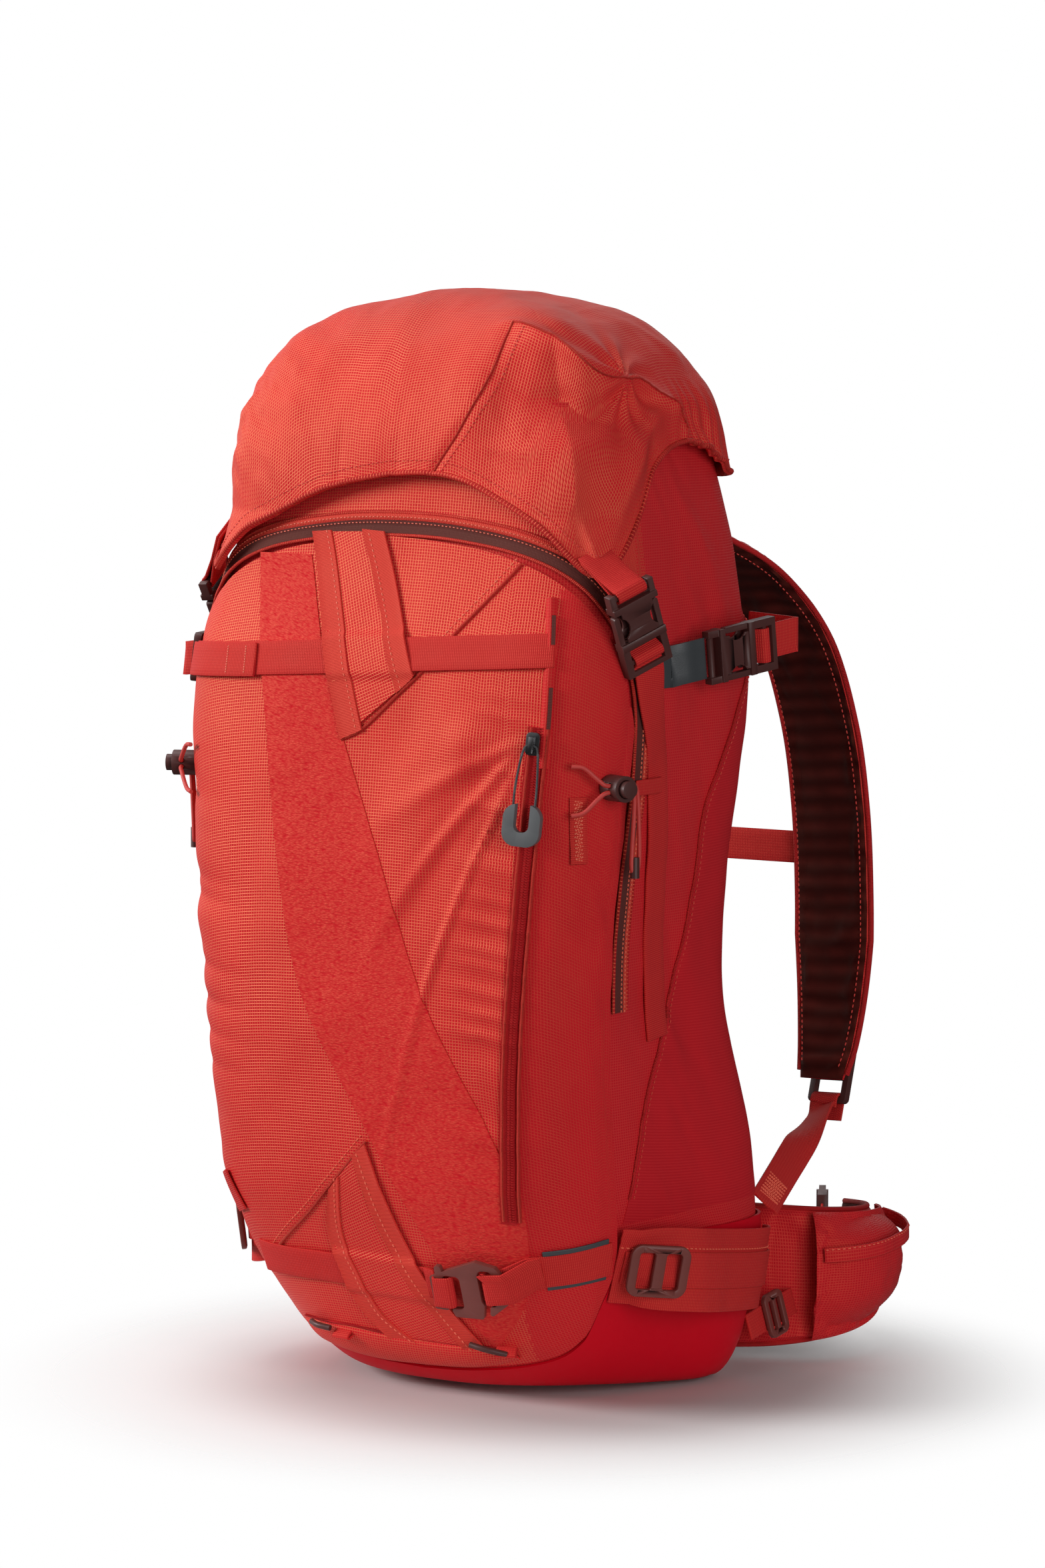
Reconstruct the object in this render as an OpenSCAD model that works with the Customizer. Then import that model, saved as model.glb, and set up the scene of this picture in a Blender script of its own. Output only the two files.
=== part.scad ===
// A ski touring backpack: a panel-loading bag on a framed back, with a hinged lid and a full harness.
// Frame: origin on the ground under the bag, +Z up, -Y the front panel, +Y the harness, millimetres.
// Soft pieces are thin closed skins laid on one body surface, so each follows the bag when it changes.

/* [Bag] */
// Height of the open rim above the ground
bag_h = 585; // [570:1:600]
// Width of the bag at the ground
base_w = 228; // [220:1:236]
// Width at the top of the boot
boot_w = 270; // [262:1:278]
// Width at the hips
hip_w = 276; // [268:1:284]
// Width at the waist
waist_w = 272; // [266:1:278]
// Width at the chest
chest_w = 294; // [288:1:300]
// Width under the lid
neck_w = 270; // [266:1:274]
// Width of the rim
rim_w = 240; // [234:1:246]
// Thickness of the bag's lined wall
wall_t = 3; // [2:0.5:4]
// Extra half width at the back of the boot
boot_flare = 20; // [16:1:24]

/* [Depth] */
// Forward reach of the base
base_front = 46; // [40:1:52]
// Forward reach at the top of the boot
boot_front = 89; // [84:1:94]
// Forward reach at the hips
hip_front = 107; // [102:1:112]
// Forward reach at the waist
waist_front = 115; // [110:1:120]
// Forward reach at the chest
chest_front = 106; // [102:1:110]
// Forward reach under the lid
neck_front = 86; // [82:1:88]
// Forward reach of the rim
rim_front = 74; // [70:1:78]
// Rearward reach of the base
base_back = 104; // [100:1:108]
// Rearward reach at the top of the boot
boot_back = 122; // [118:1:126]
// Rearward reach at the hips
hip_back = 118; // [114:1:122]
// Rearward reach at the waist
waist_back = 93; // [88:1:98]
// Rearward reach at the chest
chest_back = 106; // [102:1:110]
// Rearward reach under the lid
neck_back = 108; // [104:1:110]
// Rearward reach of the rim
rim_back = 90; // [86:1:94]

/* [Lid] */
// Height of the crown of the lid
lid_top = 648; // [640:1:656]
// Half width of the lid
lid_half = 137; // [136:1:142]
// Forward reach of the lid
lid_front = 92; // [91:1:98]
// Rearward reach of the lid
lid_back = 104; // [104:1:108]
// Thickness of the lid's fabric and foam
lid_t = 2.5; // [2:0.1:3]
// Height of the front hem at the middle
hem_front = 545; // [538:1:552]
// Height of the hem at the buckled corners
hem_corner = 488; // [484:1:492]
// Height of the hinge line at the back
hinge_z = 538; // [534:1:542]

/* [Fabric] */
// Clearance between layers of cloth
gap = 0.8; // [0.5:0.1:0.9]
// Thickness of the boot
boot_t = 1.8; // [1.2:0.1:2.4]
// Thickness of the padded front panel
panel_t = 2.8; // [2:0.1:3.5]
// Thickness of webbing
web_t = 1.6; // [1.2:0.1:2]
// Width of the main webbing
web_w = 20; // [18:1:22]
// Width of a zip's tape
tape_w = 10; // [8:1:11]

/* [Harness] */
// Height of the shoulder straps' upper seam
strap_z = 505; // [500:1:510]
// Width of a shoulder strap
strap_w = 60; // [52:1:66]
// Thickness of a shoulder strap
strap_t = 13; // [10:1:15]
// Thickness of a hip wing
wing_t = 15; // [12:1:17]
// Height of a hip wing at its root
wing_h = 88; // [80:1:94]
// Thickness of the back pad
pad_t = 14; // [10:1:17]

/* [Hardware] */
// Thickness of a side-release buckle
buckle_t = 8.6; // [8:0.2:9.4]
// Clear gap inside a buckle's socket
socket_t = 5.4; // [5:0.1:5.6]
// Thickness of the metal hook and the triglides
metal_t = 3; // [2.5:0.1:3.5]
// Diameter of the shock cord
cord_d = 2.6; // [2.2:0.1:2.8]
// Diameter of a cord lock's barrel
lock_d = 15; // [14:0.5:16]
// Travel of a cord lock's button
button_travel = 3; // [2:0.1:3.2]

/* [Hidden] */

red = "#d0402c";
deep_red = "#a0101c";
brown = "#462826";
grey = "#3c3e42";
steel = "#80848a";

ring_n = 40;
step = 360 / ring_n;
floor_z = boot_t + gap;

half_at = [[0, base_w / 2], [15, mix(base_w, boot_w, 0.2) / 2], [40, mix(base_w, boot_w, 0.55) / 2],
    [80, boot_w / 2], [140, hip_w / 2], [250, waist_w / 2], [420, chest_w / 2], [500, neck_w / 2],
    [bag_h, rim_w / 2]];
front_at = [[0, base_front], [15, mix(base_front, boot_front, 0.2)], [40, mix(base_front, boot_front, 0.58)],
    [80, boot_front], [140, hip_front], [250, waist_front], [420, chest_front], [500, neck_front],
    [bag_h, rim_front]];
back_at = [[0, base_back], [15, mix(base_back, boot_back, 0.25)], [40, mix(base_back, boot_back, 0.62)],
    [80, boot_back], [140, hip_back], [250, waist_back], [420, chest_back], [500, neck_back],
    [bag_h, rim_back]];
taper_at = [[0, boot_flare + 22], [15, boot_flare + 18], [40, boot_flare + 9], [80, boot_flare], [140, 10],
    [250, 3], [420, 0], [500, 0], [bag_h, 0]];
power_at = [[0, 3], [15, 3.2], [40, 3.6], [80, 4.2], [140, 4.7], [250, 4.8], [420, 4.8], [500, 4.8],
    [bag_h, 4.2]];

// Interpolation: a smooth curve through [position, value] pairs, where a value is a number or a point
function mix(a, b, u) = a + (b - a) * u;
function unit(v) = v / norm(v);
function piece(x, p) = min(len(p) - 2, max([0, for (k = [0 : len(p) - 2]) if (p[k][0] <= x) k]));
function rise(p, a, b) = (p[b][1] - p[a][1]) / (p[b][0] - p[a][0]);
function slope(p, k) = rise(p, max(k - 1, 0), min(k + 1, len(p) - 1));
function curve(x, p) =
    let (k = piece(x, p), h = p[k + 1][0] - p[k][0], u = (x - p[k][0]) / h)
    (2 * u^3 - 3 * u^2 + 1) * p[k][1] + (u^3 - 2 * u^2 + u) * h * slope(p, k)
    + (3 * u^2 - 2 * u^3) * p[k + 1][1] + (u^3 - u^2) * h * slope(p, k + 1);
function through(points, per) =
    let (p = [for (k = [0 : len(points) - 1]) [k, points[k]]])
    [for (k = [0 : (len(points) - 1) * per]) curve(k / per, p)];

// The body: a rounded-square section lofted up the bag, read by bearing (0 is +X, -90 the front)
function half(z) = curve(z, half_at);
function front(z) = curve(z, front_at);
function back(z) = curve(z, back_at);
function taper(z) = curve(z, taper_at);
function power(z) = curve(z, power_at);
function rho(phi, n) = (abs(cos(phi))^n + abs(sin(phi))^n)^(-1 / n);
function section(phi, z, n, a, f, b, k) =
    let (r = rho(phi, n), sx = r * cos(phi), sy = r * sin(phi))
    [(a + k * sy) * sx, (b - f) / 2 + (b + f) / 2 * sy, z];
function body(phi, z, off = 0) =
    section(phi, z, power(z), half(z) + off, front(z) + off, back(z) + off, taper(z));
function outward(phi, z) =
    unit(cross(body(phi + 0.5, z) - body(phi - 0.5, z), body(phi, z + 1) - body(phi, z - 1)));
function centre_y(z) = (back(z) - front(z)) / 2;
function reach_y(z) = (back(z) + front(z)) / 2;
function front_phi(x, z) = -90 + atan(x / (half(z) - taper(z)));
function back_phi(x, z) = 90 - atan(x / (half(z) + taper(z)));
function side_phi(y, z) = atan((y - centre_y(z)) / reach_y(z));
function boot_line(phi) =
    let (d = min(abs(phi + 90), 360 - abs(phi + 90)))
    d < 12 ? 22 : d > 66 ? 98 : mix(22, 98, 0.5 - 0.5 * cos(180 * (d - 12) / 54));

// Closed skins: a slab between two grids, and a shell between two stacks of rings
module slab(top, bottom) {
    r = len(top);
    c = len(top[0]);
    n = r * c;
    points = concat([for (row = top) each row], [for (row = bottom) each row]);
    faces = concat(
        [for (j = [0 : r - 2], i = [0 : c - 2]) each
            let (a = j * c + i, b = a + c, e = b + 1, d = a + 1)
            [[a, b, e], [a, e, d], [e + n, b + n, a + n], [d + n, e + n, a + n]]],
        [for (i = [0 : c - 2]) each
            let (a = i, d = i + 1, b = (r - 1) * c + i, e = b + 1)
            [[a, d, d + n], [a, d + n, a + n], [e, b, b + n], [e, b + n, e + n]]],
        [for (j = [0 : r - 2]) each
            let (a = j * c, b = a + c, d = a + c - 1, e = b + c - 1)
            [[b, a, a + n], [b, a + n, b + n], [d, e, e + n], [d, e + n, d + n]]]);
    polyhedron(points, faces);
}

module shell(outer, inner, cap) {
    c = len(outer[0]);
    p = len(outer);
    q = len(inner);
    n = p * c;
    m = n + q * c;
    points = concat([for (row = outer) each row], [for (row = inner) each row],
        cap == "floor" ? [middle(outer[0]), middle(inner[0])] : [],
        cap == "roof" ? [middle(outer[p - 1]), middle(inner[q - 1])] : []);
    faces = concat(
        [for (j = [0 : p - 2], i = [0 : c - 1]) each
            let (k = (i + 1) % c, a = j * c + i, b = a + c, d = j * c + k, e = d + c)
            [[a, b, e], [a, e, d]]],
        [for (j = [0 : q - 2], i = [0 : c - 1]) each
            let (k = (i + 1) % c, a = n + j * c + i, b = a + c, d = n + j * c + k, e = d + c)
            [[e, b, a], [d, e, a]]],
        cap == "roof" ? [] : [for (i = [0 : c - 1]) each
            let (k = (i + 1) % c, b = (p - 1) * c + i, e = (p - 1) * c + k, f = n + (q - 1) * c)
            [[e, b, f + i], [e, f + i, f + k]]],
        cap == "floor" ? [] : [for (i = [0 : c - 1]) each
            let (k = (i + 1) % c) [[i, k, n + k], [i, n + k, n + i]]],
        cap != "floor" ? [] : [for (i = [0 : c - 1]) each
            let (k = (i + 1) % c) [[i, k, m], [n + k, n + i, m + 1]]],
        cap != "roof" ? [] : [for (i = [0 : c - 1]) each
            let (k = (i + 1) % c, b = (p - 1) * c, f = n + (q - 1) * c)
            [[b + k, b + i, m], [f + i, f + k, m + 1]]]);
    polyhedron(points, faces);
}
function middle(ring) =
    [for (a = [0 : 2]) (max([for (p = ring) p[a]]) + min([for (p = ring) p[a]])) / 2];

// A round cord along a path, which keeps its section square to the path
module cord(path, d, sides = 8, ref = [0, 0, 1]) {
    last = len(path) - 1;
    rings = [for (j = [0 : last])
        let (t = along(path, j), u = unit(ref - (ref * t) * t), v = cross(t, u))
        [for (i = [0 : sides - 1])
            path[j] + d / 2 * (cos(360 * i / sides) * u + sin(360 * i / sides) * v)]];
    points = concat([for (ring = rings) each ring], [path[0], path[last]]);
    m = (last + 1) * sides;
    faces = concat(
        [for (j = [0 : last - 1], i = [0 : sides - 1]) each
            let (k = (i + 1) % sides, a = j * sides + i, b = a + sides, e = j * sides + k + sides)
            [[a, b, e], [a, e, j * sides + k]]],
        [for (i = [0 : sides - 1]) [i, (i + 1) % sides, m]],
        [for (i = [0 : sides - 1]) [last * sides + (i + 1) % sides, last * sides + i, m + 1]]);
    polyhedron(points, faces);
}

// Webbing: a flat band along a path with its outward normals
function along(path, j) = unit(path[min(j + 1, len(path) - 1)] - path[max(j - 1, 0)]);
function across(path, face, j) = unit(cross(along(path, j), face[j]));
function band_grid(path, face, w, h) = [for (j = [0 : len(path) - 1])
    [for (v = [-w / 2, w / 2]) path[j] + v * across(path, face, j) + h * face[j]]];
module band(path, face, w, bottom, top) {
    slab(band_grid(path, face, w, top), band_grid(path, face, w, bottom));
}
module laid_band(spots, w, bottom, top) {
    band([for (s = spots) body(s[0], s[1])], [for (s = spots) outward(s[0], s[1])], w, bottom, top);
}
module laid_patch(rows, bottom, top) {
    slab([for (row = rows) [for (s = row) body(s[0], s[1], top)]],
        [for (row = rows) [for (s = row) body(s[0], s[1], bottom)]]);
}
// A padded strip, crowned across its width, thinner at its edges
function pad_grid(path, face, w, t, sign, n = 6) = [for (j = [0 : len(path) - 1])
    let (s = across(path, face, j))
    [for (i = [0 : n]) let (v = 2 * i / n - 1)
        path[j] + v * w[j] / 2 * s + sign * t[j] / 2 * (1 - 0.5 * abs(v)^3) * face[j]]];
module padded(path, face, w, t) {
    slab(pad_grid(path, face, w, t, 1), pad_grid(path, face, w, t, -1));
}
module place(at, x, y) {
    z = cross(x, y);
    multmatrix([[x[0], y[0], z[0], at[0]], [x[1], y[1], z[1], at[1]], [x[2], y[2], z[2], at[2]]]) children();
}
module rounded(w, l, r) {
    square([w - 2 * r, l], center = true);
    square([w, l - 2 * r], center = true);
    for (x = [r - w / 2, w / 2 - r], y = [r - l / 2, l / 2 - r]) translate([x, y]) circle(r, $fn = 24);
}
module both() {
    children();
    mirror([1, 0, 0]) children();
}

// The bag and its boot
bag_z = [floor_z + 0.8, 12, 25, 45, 75, 110, 150, 185, 220, 250, 285, 330, 380, 430, 480, 530, bag_h];
inner_z = [floor_z + 0.8, 20, 45, 80, 150, 250, 420, 500, 540, 562, bag_h];
boot_row = [0, 0.07, 0.16, 0.3, 0.46, 0.62, 0.8, 1];
function ring(z, off) = [for (i = [0 : ring_n - 1]) body(i * step, z, off)];
module main_bag() {
    color(red) shell([for (z = bag_z) ring(z, 0)], [for (z = inner_z) ring(z, -wall_t)], "none");
}
module bag_floor() {
    color(red) translate([0, 0, floor_z + 0.8]) linear_extrude(wall_t)
        polygon([for (p = ring(floor_z + 0.8, -wall_t - 0.4)) [p[0], p[1]]]);
}
module base_boot() {
    color(deep_red) shell(
        [for (f = boot_row) [for (i = [0 : ring_n - 1]) body(i * step, f * boot_line(signed(i)), gap + boot_t)]],
        [for (f = boot_row) [for (i = [0 : ring_n - 1])
            body(i * step, boot_t + f * (boot_line(signed(i)) - boot_t), gap + 0.3)]],
        "floor");
}
function signed(i) = i * step > 180 ? i * step - 360 : i * step;

// The gathered collar inside the rim, with its drawcord
collar_z = [bag_h - 45, bag_h - 23, bag_h + 3];
module collar() {
    color(deep_red) shell([for (z = collar_z) ring(z, -wall_t - gap)],
        [for (z = collar_z) ring(z, -wall_t - gap - 1.4)], "none");
}
module collar_cord() {
    spots = [for (a = [-84 : 7.2 : 264]) a];
    color(grey) cord([for (a = spots) body(a, bag_h - 4, -wall_t - gap - 4.2)], cord_d);
}

// The front panel inside its arched zip
panel_edge = 61;
panel_cols = [-panel_edge, -58, for (i = [-6 : 6]) i * step, 58, panel_edge];
arch = [[0, 514], [18, 511], [34, 503], [46, 486], [56, 456], [62, 420], [64.5, 380], [64.6, 238]];
function arch_z(d) = curve(min(abs(d), 64), arch);
function panel_top(d) = arch_z(abs(d) + 3.6) - 6;
function panel_low(d) = boot_line(d - 90) + 4;
module front_panel() {
    rows = [for (j = [0 : 16]) [for (d = panel_cols) [d - 90, mix(panel_low(d), panel_top(d), (j / 16)^1.25)]]];
    color(red) laid_patch(rows, gap + 0.5, gap + panel_t);
}
zip_half = through([[64.8, 238], [64.8, 310], [64.8, 380], [62.5, 420], [56, 457], [46, 487], [34, 504],
    [18, 512], [0, 514]], 4);
zip_spots = concat([for (s = zip_half) [s[0] - 90, s[1]]],
    [for (k = [len(zip_half) - 2 : -1 : 0]) [-zip_half[k][0] - 90, zip_half[k][1]]]);
module panel_zip() {
    color(brown) laid_band([for (k = [len(zip_spots) - 1 : -1 : 0]) zip_spots[k]], tape_w, gap + 0.4, gap + 1.8);
}

// Zip sliders ride just above their tapes, each on a straight run
slider_lift = 0.7;
panel_run = [body(-154.8, 252), body(-154.8, 372)];
panel_dir = unit(panel_run[1] - panel_run[0]);
panel_face = face_square(outward(-154.8, 312), panel_dir);
function face_square(n, t) = unit(n - (n * t) * t);
module zip_slider() {
    linear_extrude(2.6) rounded(8, 13, 2.5);
    translate([0, -1, 2.5]) difference() {
        translate([-1.5, -4, 0]) cube([3, 9, 4]);
        translate([-2, 0, 2]) rotate([0, 90, 0]) cylinder(h = 4, d = 2.4, $fn = 24);
    }
}
module panel_zip_slider() {
    at = panel_run[0] + (gap + 1.8 + slider_lift) * panel_face;
    color(steel) place(at, cross(panel_dir, panel_face), panel_dir) zip_slider();
}

// The stash pocket's straight zip down the right of the panel
stash_t = gap + panel_t;
function stash_x(z) = 92 + 23 * (z - 125) / 272;
function stash_spot(z) = [front_phi(stash_x(z), z), z];
stash_spots = [for (z = [118 : 19 : 403]) stash_spot(z)];
stash_lo = stash_t + gap;
stash_hi = stash_lo + 1.4;
stash_a = body(stash_spot(394)[0], 394);
stash_b = body(stash_spot(304)[0], 304);
stash_dir = unit(stash_b - stash_a);
stash_face = face_square(outward(stash_spot(350)[0], 350), stash_dir);
stash_side = cross(-stash_dir, stash_face);
stash_at = stash_a + (stash_hi + 0.9) * stash_face;
module stash_zip() {
    color(red) laid_band(stash_spots, 12, stash_lo, stash_hi);
}
module stash_zip_slider() {
    color(steel) place(stash_at, stash_side, -stash_dir) zip_slider();
}
function on_stash(x, y, z) = stash_at + x * stash_side - y * stash_dir + z * stash_face;
module stash_pull_cord() {
    path = through([on_stash(-6.4, -36, 6.6), on_stash(-6.4, -26, 6.6), on_stash(-5.4, -12, 5.8),
        on_stash(-4, -3.4, 4.8), on_stash(-1.8, -1, 4.5), on_stash(1.8, -1, 4.5), on_stash(4, -3.4, 4.8),
        on_stash(5.4, -12, 5.8), on_stash(6.4, -26, 6.6), on_stash(6.4, -36, 6.6)], 3);
    color(grey) cord(path, 1.4, 8, stash_face);
}
module stash_pull_grip() {
    color(grey) place(on_stash(0, -46, 3.6), stash_side, -stash_dir) difference() {
        linear_extrude(6) difference() {
            rounded(22, 24, 8);
            translate([0, 4]) rounded(9, 16, 4);
            translate([0, 10]) square([9, 10], center = true);
        }
        for (x = [-6.4, 6.4]) translate([x, 6, 3]) rotate([-90, 0, 0]) cylinder(h = 12, d = 2, $fn = 24);
    }
}

// Trim on the front panel: the ski patch, its sleeves, and the straps that pass under them
patch_lo = stash_t + gap;
patch_hi = patch_lo + 1;
patch_edge = [[52, [42, 50]], [75, [34, 62]], [105, [20, 76]], [130, [2, 78]], [165, [-16, 68]],
    [245, [-43, 38]], [325, [-60, 10]], [392, [-70, -18]], [440, [-80, -35]], [496, [-94, -54]]];
function strip(edges, z0, z1, rows, cols) = [for (j = [0 : rows])
    let (z = mix(z0, z1, j / rows), e = curve(z, edges))
    [for (i = [0 : cols]) [front_phi(mix(e[0], e[1], i / cols), z), z]]];
strap_lo = patch_hi + gap;
strap_hi = strap_lo + web_t;
sleeve_lo = strap_hi + gap;
sleeve_hi = sleeve_lo + 1.2;
sleeve_up = [[396, [-19, -13]], [434, [-31, 28]], [500, [-54, 2]]];
sleeve_down = [[32, [12, 54]], [50, [-4, 40]], [76, [-18, 20]], [100, [-28, 9]], [118, [-34, 1]], [148, [-15, -8]]];
module panel_trim() {
    color(red) {
        laid_patch(strip(patch_edge, 52, 496, 16, 4), patch_lo, patch_hi);
        laid_patch(strip(sleeve_up, 396, 500, 6, 3), sleeve_lo, sleeve_hi);
        laid_patch(strip(sleeve_down, 32, 148, 10, 3), sleeve_lo + 0.9, sleeve_hi + 0.9);
    }
}
function fan(d0, d1, z0, z1, n) = [for (k = [0 : n]) [mix(d0, d1, k / n), mix(z0, z1, k / n)]];
module front_upper_strap() {
    color(red) laid_band(fan(-139, -48, 432, 447, 26), web_w, strap_lo, strap_hi);
}

// A ladder lock: a frame with two windows either side of a bar
module ladder_lock(w, l, t) {
    difference() {
        linear_extrude(t) rounded(w + 9, l, 3);
        translate([-w / 2 - 0.5, -l / 2 + 3.5, -1]) cube([w + 1, l / 2 - 6, t + 2]);
        translate([-w / 2 - 0.5, 2.5, -1]) cube([w + 1, l / 2 - 6, t + 2]);
    }
    translate([-w / 2 - 2, 0, t]) rotate([0, 90, 0]) cylinder(h = w + 4, d = 3, $fn = 24);
}
module upper_adjuster_left() {
    n = outward(-146, 431);
    t = face_square(body(-143, 431) - body(-149, 431), n);
    color(brown) place(body(-146, 431) + (strap_lo - 2.4) * n, cross(t, n), t) ladder_lock(web_w, 26, 4.5);
}
module side_strap_left() {
    color(red) laid_band(fan(-220, -155, 438, 431, 18), web_w, gap, gap + web_t);
}
module front_lower_strap() {
    color(red) laid_band(fan(-132, -66, 78, 75, 20), web_w, strap_lo, strap_hi);
}

// The gear hook and the webbing loop that it catches
hook_spot = [front_phi(58, 78), 78];
module hook_outline() {
    offset(1.4, $fn = 24) offset(-1.4, $fn = 24) difference() {
        polygon([[-24, 8], [-20, 9], [-20, 15], [-16, 15], [-15.5, 11.5], [7, 20], [20, 17], [24.5, 9], [24.5, -7],
            [13, -16], [9, -18.5], [-11.5, -18.5], [-13, -14.5], [-24, -14]]);
        translate([-10.5, -2]) rounded(11.5, web_w + 2, 3);
        translate([12.5, 2.5]) rounded(10.5, web_w + 4, 4);
        translate([9.4, -15]) rotate(-12) square([3.8, 14], center = true);
    }
}
hook_n = outward(hook_spot[0], hook_spot[1]);
hook_up = face_square([0, 0, 1], hook_n);
hook_side = cross(hook_up, hook_n);
function on_hook(x, y, z) =
    body(hook_spot[0], hook_spot[1]) + (strap_hi + 0.3 + z) * hook_n + x * hook_side + y * hook_up;
module gear_hook() {
    color(brown) place(on_hook(0, 0, 0), hook_side, hook_up) linear_extrude(metal_t) hook_outline();
}
// The webbing comes from the ski loop, passes under the hook's arm, turns round it and is sewn down on itself
module hook_loop_strap() {
    under = [for (s = fan(-31, -50, 93, 86.6, 6)) body(s[0], s[1]) + (strap_lo + web_t / 2) * outward(s[0], s[1])];
    under_face = [for (s = fan(-31, -50, 93, 86.6, 6)) outward(s[0], s[1])];
    turn = metal_t / 2 + 0.3 + web_t / 2;
    turns = [for (a = [0 : 30 : 180]) on_hook(13 - turn * sin(a), 2.5, metal_t / 2 - turn * cos(a))];
    turn_face = [for (a = [0 : 30 : 180]) hook_n * cos(a) + hook_side * sin(a)];
    over = [on_hook(27, 4.4, metal_t / 2 + turn), body(-48.5, 86.9) + (strap_hi + 1 + web_t / 2) * outward(-48.5, 86.9)];
    color(red) band(concat(under, [on_hook(22, 3.7, -0.3 - web_t / 2)], turns, over),
        concat(under_face, [hook_n], turn_face, [-hook_n, -outward(-48.5, 86.9)]), web_w, -web_t / 2, web_t / 2);
}

// Ski loops low on the sides stand off the bag, each with a triglide that sets its length
loop_w = 46;
loop_run = [[-30, 4.3], [-27, 8], [-23, 14], [-18, 18.5], [-12, 21.5], [-5, 23], [3, 21], [11, 17.5], [20, 14],
    [29, 10.6], [36, 7], [41, 3.9]];
loop_spots = through(loop_run, 3);
function loop_z(phi) = 79 - 0.3 * phi;
function level(phi) = face_square(outward(phi, loop_z(phi)), [0, 0, 1]);
function lean(phi) = unit(body(phi, loop_z(phi) + 18) - body(phi, loop_z(phi) - 18));
loop_line = [for (s = loop_spots) body(s[0], loop_z(s[0])) + s[1] * level(s[0])];
loop_up = [for (s = loop_spots) unit(mix([0, 0, 1], lean(s[0]), min(1, max(0, (20 - s[1]) / 10))))];
loop_face = [for (j = [0 : len(loop_line) - 1]) unit(cross(along(loop_line, j), loop_up[j]))];
loop_n = len(loop_line) - 1;
function part_of(list, a, b) = [for (k = [a : b]) list[k]];
module ski_loop() {
    band(loop_line, loop_face, loop_w, -web_t / 2, web_t / 2);
    band(part_of(loop_line, 2, loop_n), part_of(loop_face, 2, loop_n), web_w + 2, web_t / 2 + gap, 1.5 * web_t + gap);
}
module ski_loop_right() {
    color(red) ski_loop();
}
module ski_loop_left() {
    color(red) mirror([1, 0, 0]) ski_loop();
}
module wear_patches() {
    color(grey) {
        laid_band(fan(-47, -32, 87.6, 92.6, 6), web_w + 6, patch_lo, patch_hi);
        wear_tab();
    }
}
glide_j = 7;
glide_dir = along(loop_line, glide_j);
glide_face = loop_face[glide_j];
module triglide() {
    place(loop_line[glide_j] + (1.5 * web_t + gap + 1.3) * glide_face, cross(glide_dir, glide_face), glide_dir)
        linear_extrude(metal_t) difference() {
            rounded(web_w + 11, 38, 7);
            translate([0, 8.5]) rounded(web_w + 2, 10, 2);
            translate([0, -8.5]) rounded(web_w + 2, 10, 2);
        }
}
module ski_triglide_right() {
    color(brown) triglide();
}
module ski_triglide_left() {
    color(brown) mirror([1, 0, 0]) triglide();
}

// Side-release buckle halves: the mouth at the origin, +y to the socket, z the thickness
module socket_plate() {
    linear_extrude((buckle_t - socket_t) / 2) difference() {
        union() {
            translate([-11, 0]) square([22, 20]);
            translate([-15.5, 18]) square([31, 4]);
        }
        for (x = [-14.5, 14.5]) translate([x, 9]) circle(r = 7, $fn = 48);
    }
}
module buckle_female() {
    for (z = [socket_t / 2, -buckle_t / 2]) translate([0, 0, z]) socket_plate();
    translate([-15.5, 18, -buckle_t / 2 + 1]) cube([31, 4, buckle_t - 2]);
    for (x = [-15.5, 11.5]) translate([x, 21, -3]) cube([4, 9, 6]);
    translate([-13, 27, 0]) rotate([0, 90, 0]) cylinder(h = 26, d = 4, $fn = 32);
}
module buckle_male() {
    translate([-15.5, -5, -3.8]) cube([31, 4.4, 7.6]);
    translate([-3, -1, -1.9]) cube([6, 12, 3.8]);
    for (s = [-1, 1]) translate([13.8 * s, 0, -2.2]) linear_extrude(4.4) hull() {
        translate([-1.7, -1]) square([3.4, 10]);
        translate([0, 15]) circle(d = 3.4, $fn = 24);
    }
    difference() {
        translate([-15.5, -22, -3]) cube([31, 18, 6]);
        translate([-11, -12, -5]) cube([22, 6.5, 10]);
        translate([-11, -19, -5]) cube([22, 4.5, 10]);
    }
}
// Webbing sewn in a loop round a buckle's bar, as a profile drawn out to the webbing's width
module web_loop(bar_d, length, sign) {
    r = bar_d / 2 + 0.4;
    translate([-web_w / 2, 0, 0]) rotate([90, 0, 90]) linear_extrude(web_w) {
        difference() {
            union() {
                circle(r + web_t, $fn = 48);
                translate([sign > 0 ? 0 : -length, -web_t]) square([length, 2 * web_t]);
            }
            circle(r, $fn = 48);
        }
    }
}

// Lid buckles hang from the hem, square to the lid's swing, the left one further back
hinge_y = lid_back - 1.5;
mouth_right = [155, -68, 456];
mouth_left = [155, -34, 456];
turn_right = 24;
turn_left = 6;
function swing(m) = unit([0, m[2] - hinge_z, hinge_y - m[1]]);
function lid_face(m, turn) = cos(turn) * [1, 0, 0] + sin(turn) * [0, -swing(m)[2], swing(m)[1]];
module at_lid_buckle(m, turn) {
    place(m, cross(swing(m), lid_face(m, turn)), swing(m)) children();
}
module lid_pair() {
    at_lid_buckle(mouth_right, turn_right) children();
    mirror([1, 0, 0]) at_lid_buckle(mouth_left, turn_left) children();
}
module lid_buckle_males() {
    color(brown) lid_pair() buckle_male();
}
module lid_buckle_females() {
    color(brown) lid_pair() buckle_female();
}
function lid_strap_y(z, m) = m[1] + 51 - 22 * (z - 218) / 210;
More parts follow.
